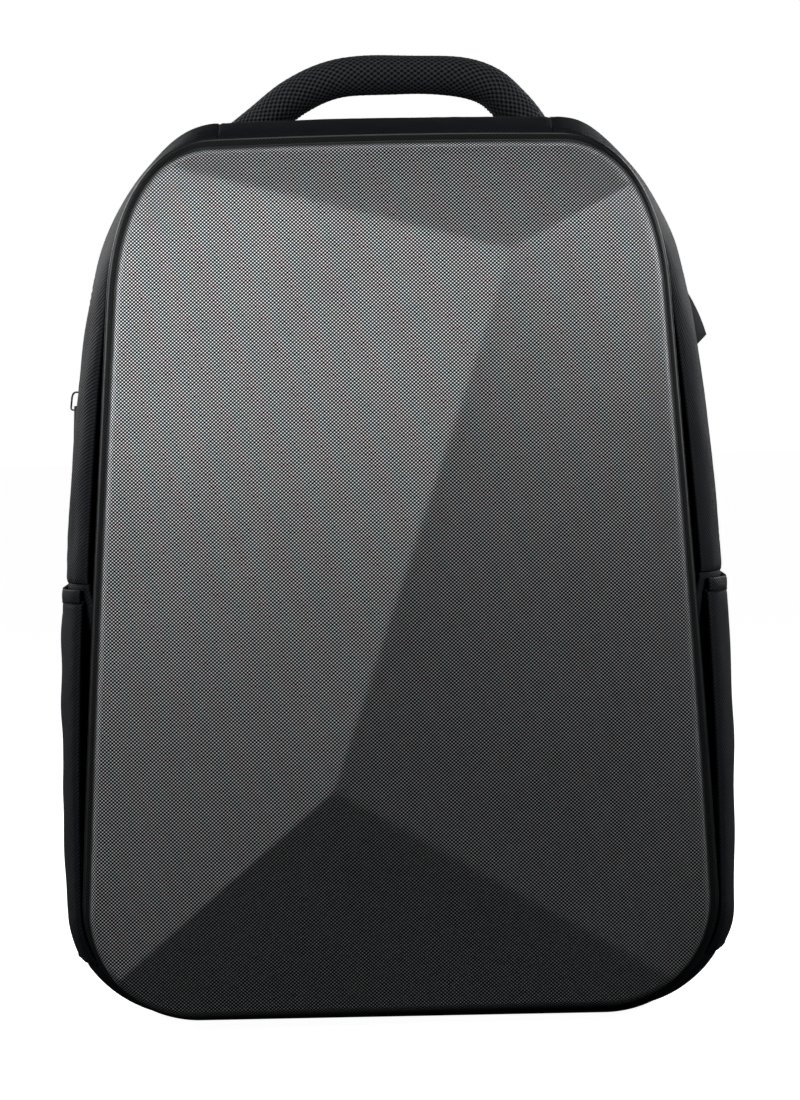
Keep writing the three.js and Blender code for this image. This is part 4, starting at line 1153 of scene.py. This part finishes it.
# Each pad: the middle across and up, and half its width and height
BACK_PADS = [
    (-70, 318, 44, 62),
    (70, 318, 44, 62),
    (-72, 160, 46, 70),
    (72, 160, 46, 70),
    (0, 62, 92, 20),
]


def pad_height(x, z):
    """How far the back's pads rise, from 0 in a channel to 1 on a pad."""
    total = np.zeros_like(x)
    for middle_x, middle_z, half_x, half_z in BACK_PADS:
        across = np.abs((x - middle_x) / half_x)
        up = np.abs((z - middle_z) / half_z)
        reach = (across ** 4 + up ** 4) ** 0.25
        crown = np.clip(1 - reach ** 3, 0, 1) ** 0.5
        total = np.maximum(total, crown)
    return total


# Section of the back's edge, as inset and share of its thickness
BACK_EDGE = [
    (2.0, 0.0), (0.6, 0.06), (0.0, 0.2), (0.1, 0.42), (0.9, 0.6), (2.4, 0.7), (4.4, 0.72),
    (5.4, 0.66),
]
BACK_EDGE_WIDTH = 8
PAD_SHARE = 0.5


def make_back():
    outline, inset = body_section(BODY_DEPTH)
    places = outline.places(0, 10, 2.5)[:-1]
    thickness = BACK_FACE - BACK_START
    core_low, core_high = 120.0, 300.0
    rim_x, rim_z, _ = outline.at(places, inset + BACK_EDGE_WIDTH)
    core_z = np.clip(rim_z, core_low, core_high)
    rings, marks = [], []

    def ring(at_inset, depth):
        x, z, _ = outline.at(places, inset + at_inset)
        rings.append(at_depth(x, depth, z))
        marks.append(np.stack([x, z], 1))

    rings.append(at_depth(0 * rim_x, BACK_START, core_z))
    marks.append(np.stack([0 * rim_x, core_z], 1))
    for at_inset, share in BACK_EDGE:
        ring(at_inset, BACK_START + share * thickness)
    for share in 1 - spaced(RIM_REACH, 2.5) / RIM_REACH:
        x, z = mix(0, rim_x, share), mix(core_z, rim_z, share)
        near = np.clip((1 - share) * RIM_REACH / 12, 0, 1)
        raised = pad_height(x, z)
        point = np.stack([x, x * 0, z], 1)
        puff = raised * PAD_SHARE + 0.02 * swell(point, 25, 9) * near
        depth = BACK_START + thickness * (BACK_EDGE[-1][1] + 0.02 * near + puff * near)
        rings.append(at_depth(x, depth, z))
        marks.append(np.stack([x, z], 1))
    uv = np.stack(marks)
    uv = np.concatenate([uv, uv[:, :1]], 1)
    builder = Builder()
    builder.grid(np.stack(rings), uv, wrap_cols=True)
    piece = builder.piece("back_padding", pad_knit, "mesh_padding", ["back_panel"])


make_back()


# Shoulder straps: padded, with a bound edge, and webbing through a ladder lock

STRAP_THICKNESS = 9
STRAP_WIDTH = 68
STRAP_TOP = 398
STRAP_BOTTOM = 205
STRAP_TOP_OFFSET = 42
STRAP_BOTTOM_OFFSET = 106
STRAP_LIFT = 16
# The route down the back, as shares of the way down, outwards and of the lift
STRAP_ROUTE = [
    (0, 0, 0.02), (0.06, 0.04, 0.035), (0.14, 0.14, 0.14), (0.3, 0.42, 0.62),
    (0.55, 0.72, 1), (0.8, 0.92, 0.85), (1, 1, 0.5),
]
# Width along the strap, as share of its length and of its full width
STRAP_WIDTHS = ([0, 0.2, 0.5, 0.85, 1], [0.82, 0.96, 1, 0.8, 0.56])
# Half section of a strap, as share of its half width, and of its half thickness
STRAP_SECTION = [
    (1.0, 0.0), (0.985, 0.32), (0.95, 0.42), (0.90, 0.42), (0.875, 0.34), (0.855, 0.36),
    (0.82, 0.62), (0.76, 0.82), (0.66, 0.95), (0.5, 1.04), (0.33, 1.09), (0.16, 1.11), (0.0, 1.12),
]


def make_strap(side, sign):
    face = BACK_FACE + GAP + STRAP_THICKNESS / 2
    line, run = smooth_route([
        (sign * mix(STRAP_TOP_OFFSET, STRAP_BOTTOM_OFFSET, across),
         RIM_Y + face + lift * STRAP_LIFT, mix(STRAP_TOP, STRAP_BOTTOM, along))
        for along, across, lift in STRAP_ROUTE
    ], 1.9)
    across, up = frames(line, (1, 0, 0))
    half = STRAP_WIDTH / 2 * eased(run / run[-1], *STRAP_WIDTHS)
    table = np.array(STRAP_SECTION)
    top = np.concatenate([table, table[-2::-1] * [-1, 1]])
    section = np.concatenate([top, top[-2:0:-1] * [1, -1]])
    wide = section[:, 0]
    thick = section[:, 1] * (STRAP_THICKNESS / 2)
    flat_end = np.clip(np.minimum(run, run[-1] - run) / 12, 0, 1)[:, None] ** 0.5
    thick = thick[None, :] * mix(0.55, 0.9, flat_end)
    point = line[:, None, :] + across[:, None, :] * (half[:, None] * wide[None, :])[..., None]
    thick = thick + 0.25 * swell(point, 30, 40) * (np.abs(wide) < 0.8) * np.sign(thick)
    grid = point + up[:, None, :] * thick[..., None]
    round_run = np.append(np.cumsum(np.concatenate([[0], np.hypot(
        np.diff(wide) * STRAP_WIDTH / 2, np.diff(section[:, 1]) * STRAP_THICKNESS / 2)])), 0)
    round_run[-1] = round_run[-2] + 2
    uv = np.stack(np.meshgrid(round_run, run, indexing="ij"), -1).transpose(1, 0, 2)
    builder = Builder()
    builder.tube(grid, uv)
    piece = builder.piece(f"strap_padding_{side}", pad_knit, "mesh_padding", [f"shoulder_strap_{side}"])


for side, sign in (("right", 1), ("left", -1)):
    make_strap(side, sign)


# Camera, light and floor

CAMERA_AIM = Vector((2.96, 4, 218.2)) * MM
CAMERA_DISTANCE = 2.4
CAMERA_RISE = math.radians(2.3)
CAMERA_ROLL = math.radians(1.15)
VIEW_HEIGHT = 0.5244

camera_data = bpy.data.cameras.new("camera")
camera_data.sensor_width = 36
camera_data.lens = 36 * CAMERA_DISTANCE / VIEW_HEIGHT
camera = add_object("camera", camera_data)
back = Vector((0, -math.cos(CAMERA_RISE), math.sin(CAMERA_RISE)))
camera.location = CAMERA_AIM + back * CAMERA_DISTANCE
camera.rotation_mode = "QUATERNION"
look = (-back).to_track_quat("-Z", "Y")
camera.rotation_quaternion = look @ Quaternion((0, 0, 1), -CAMERA_ROLL)
bpy.context.scene.camera = camera


# Each lamp: its place, what it points at, its size and its power
LAMPS = dict(
    left_front=((-0.92, -0.77, 0.33), (0, 0, 0.22), (0.5, 0.5), 1.4),
    above=((0, -0.31, 1.38), (0, 0, 0.22), (0.5, 0.5), 4.55),
    left_high=((-0.35, -0.35, 0.62), (-0.1, 0, 0.34), (0.25, 0.25), 0.49),
    left_side=((-0.6, -0.25, 0.42), (-0.1, 0, 0.34), (0.25, 0.25), 2.31),
    right_side=((0.6, -0.25, 0.42), (0.1, 0, 0.34), (0.25, 0.25), 2.66),
    back_left=((-1.1, 1.3, 0.9), (0, 0.05, 0.25), (0.6, 0.8), 14),
    back_right=((1.1, 1.3, 0.9), (0, 0.05, 0.25), (0.6, 0.8), 14),
)
for name, (place, aim, size, power) in LAMPS.items():
    data = bpy.data.lights.new(name, "AREA")
    data.shape = "RECTANGLE"
    data.size, data.size_y = size
    data.energy = power
    lamp = add_object(name, data)
    lamp.location = place
    lamp.rotation_mode = "QUATERNION"
    lamp.rotation_quaternion = (Vector(aim) - Vector(place)).to_track_quat("-Z", "Y")

scene = bpy.context.scene
scene.view_settings.view_transform = "Standard"
world = bpy.data.worlds.new("studio")
world.use_nodes = True
world.node_tree.nodes["Background"].inputs["Color"].default_value = (1, 1, 1, 1)
world.node_tree.nodes["Background"].inputs["Strength"].default_value = 0.02
scene.world = world


def glow_material(name, strength):
    material = bpy.data.materials.new(name)
    material.use_nodes = True
    skin = material.node_tree.nodes["Principled BSDF"]
    skin.inputs["Base Color"].default_value = (0.85, 0.85, 0.85, 1)
    skin.inputs["Roughness"].default_value = 0.9
    skin.inputs["Emission Color"].default_value = (1, 1, 1, 1)
    skin.inputs["Emission Strength"].default_value = strength
    return material


def stage_piece(name, work, material):
    mesh = bpy.data.meshes.new(name)
    work.to_mesh(mesh)
    work.free()
    thing = add_object(name, mesh)
    thing.data.materials.append(material)
    thing.visible_diffuse = False
    thing.visible_glossy = False
    return thing


floor_mesh = bmesh.new()
bmesh.ops.create_circle(floor_mesh, cap_ends=True, radius=12, segments=64)
floor = stage_piece("floor", floor_mesh, glow_material("pale_floor", 0.97))
dome_mesh = bmesh.new()
bmesh.ops.create_uvsphere(dome_mesh, u_segments=48, v_segments=24, radius=11.9)
dome = stage_piece("backdrop", dome_mesh, glow_material("pale_backdrop", 1.0))
dome.visible_shadow = False
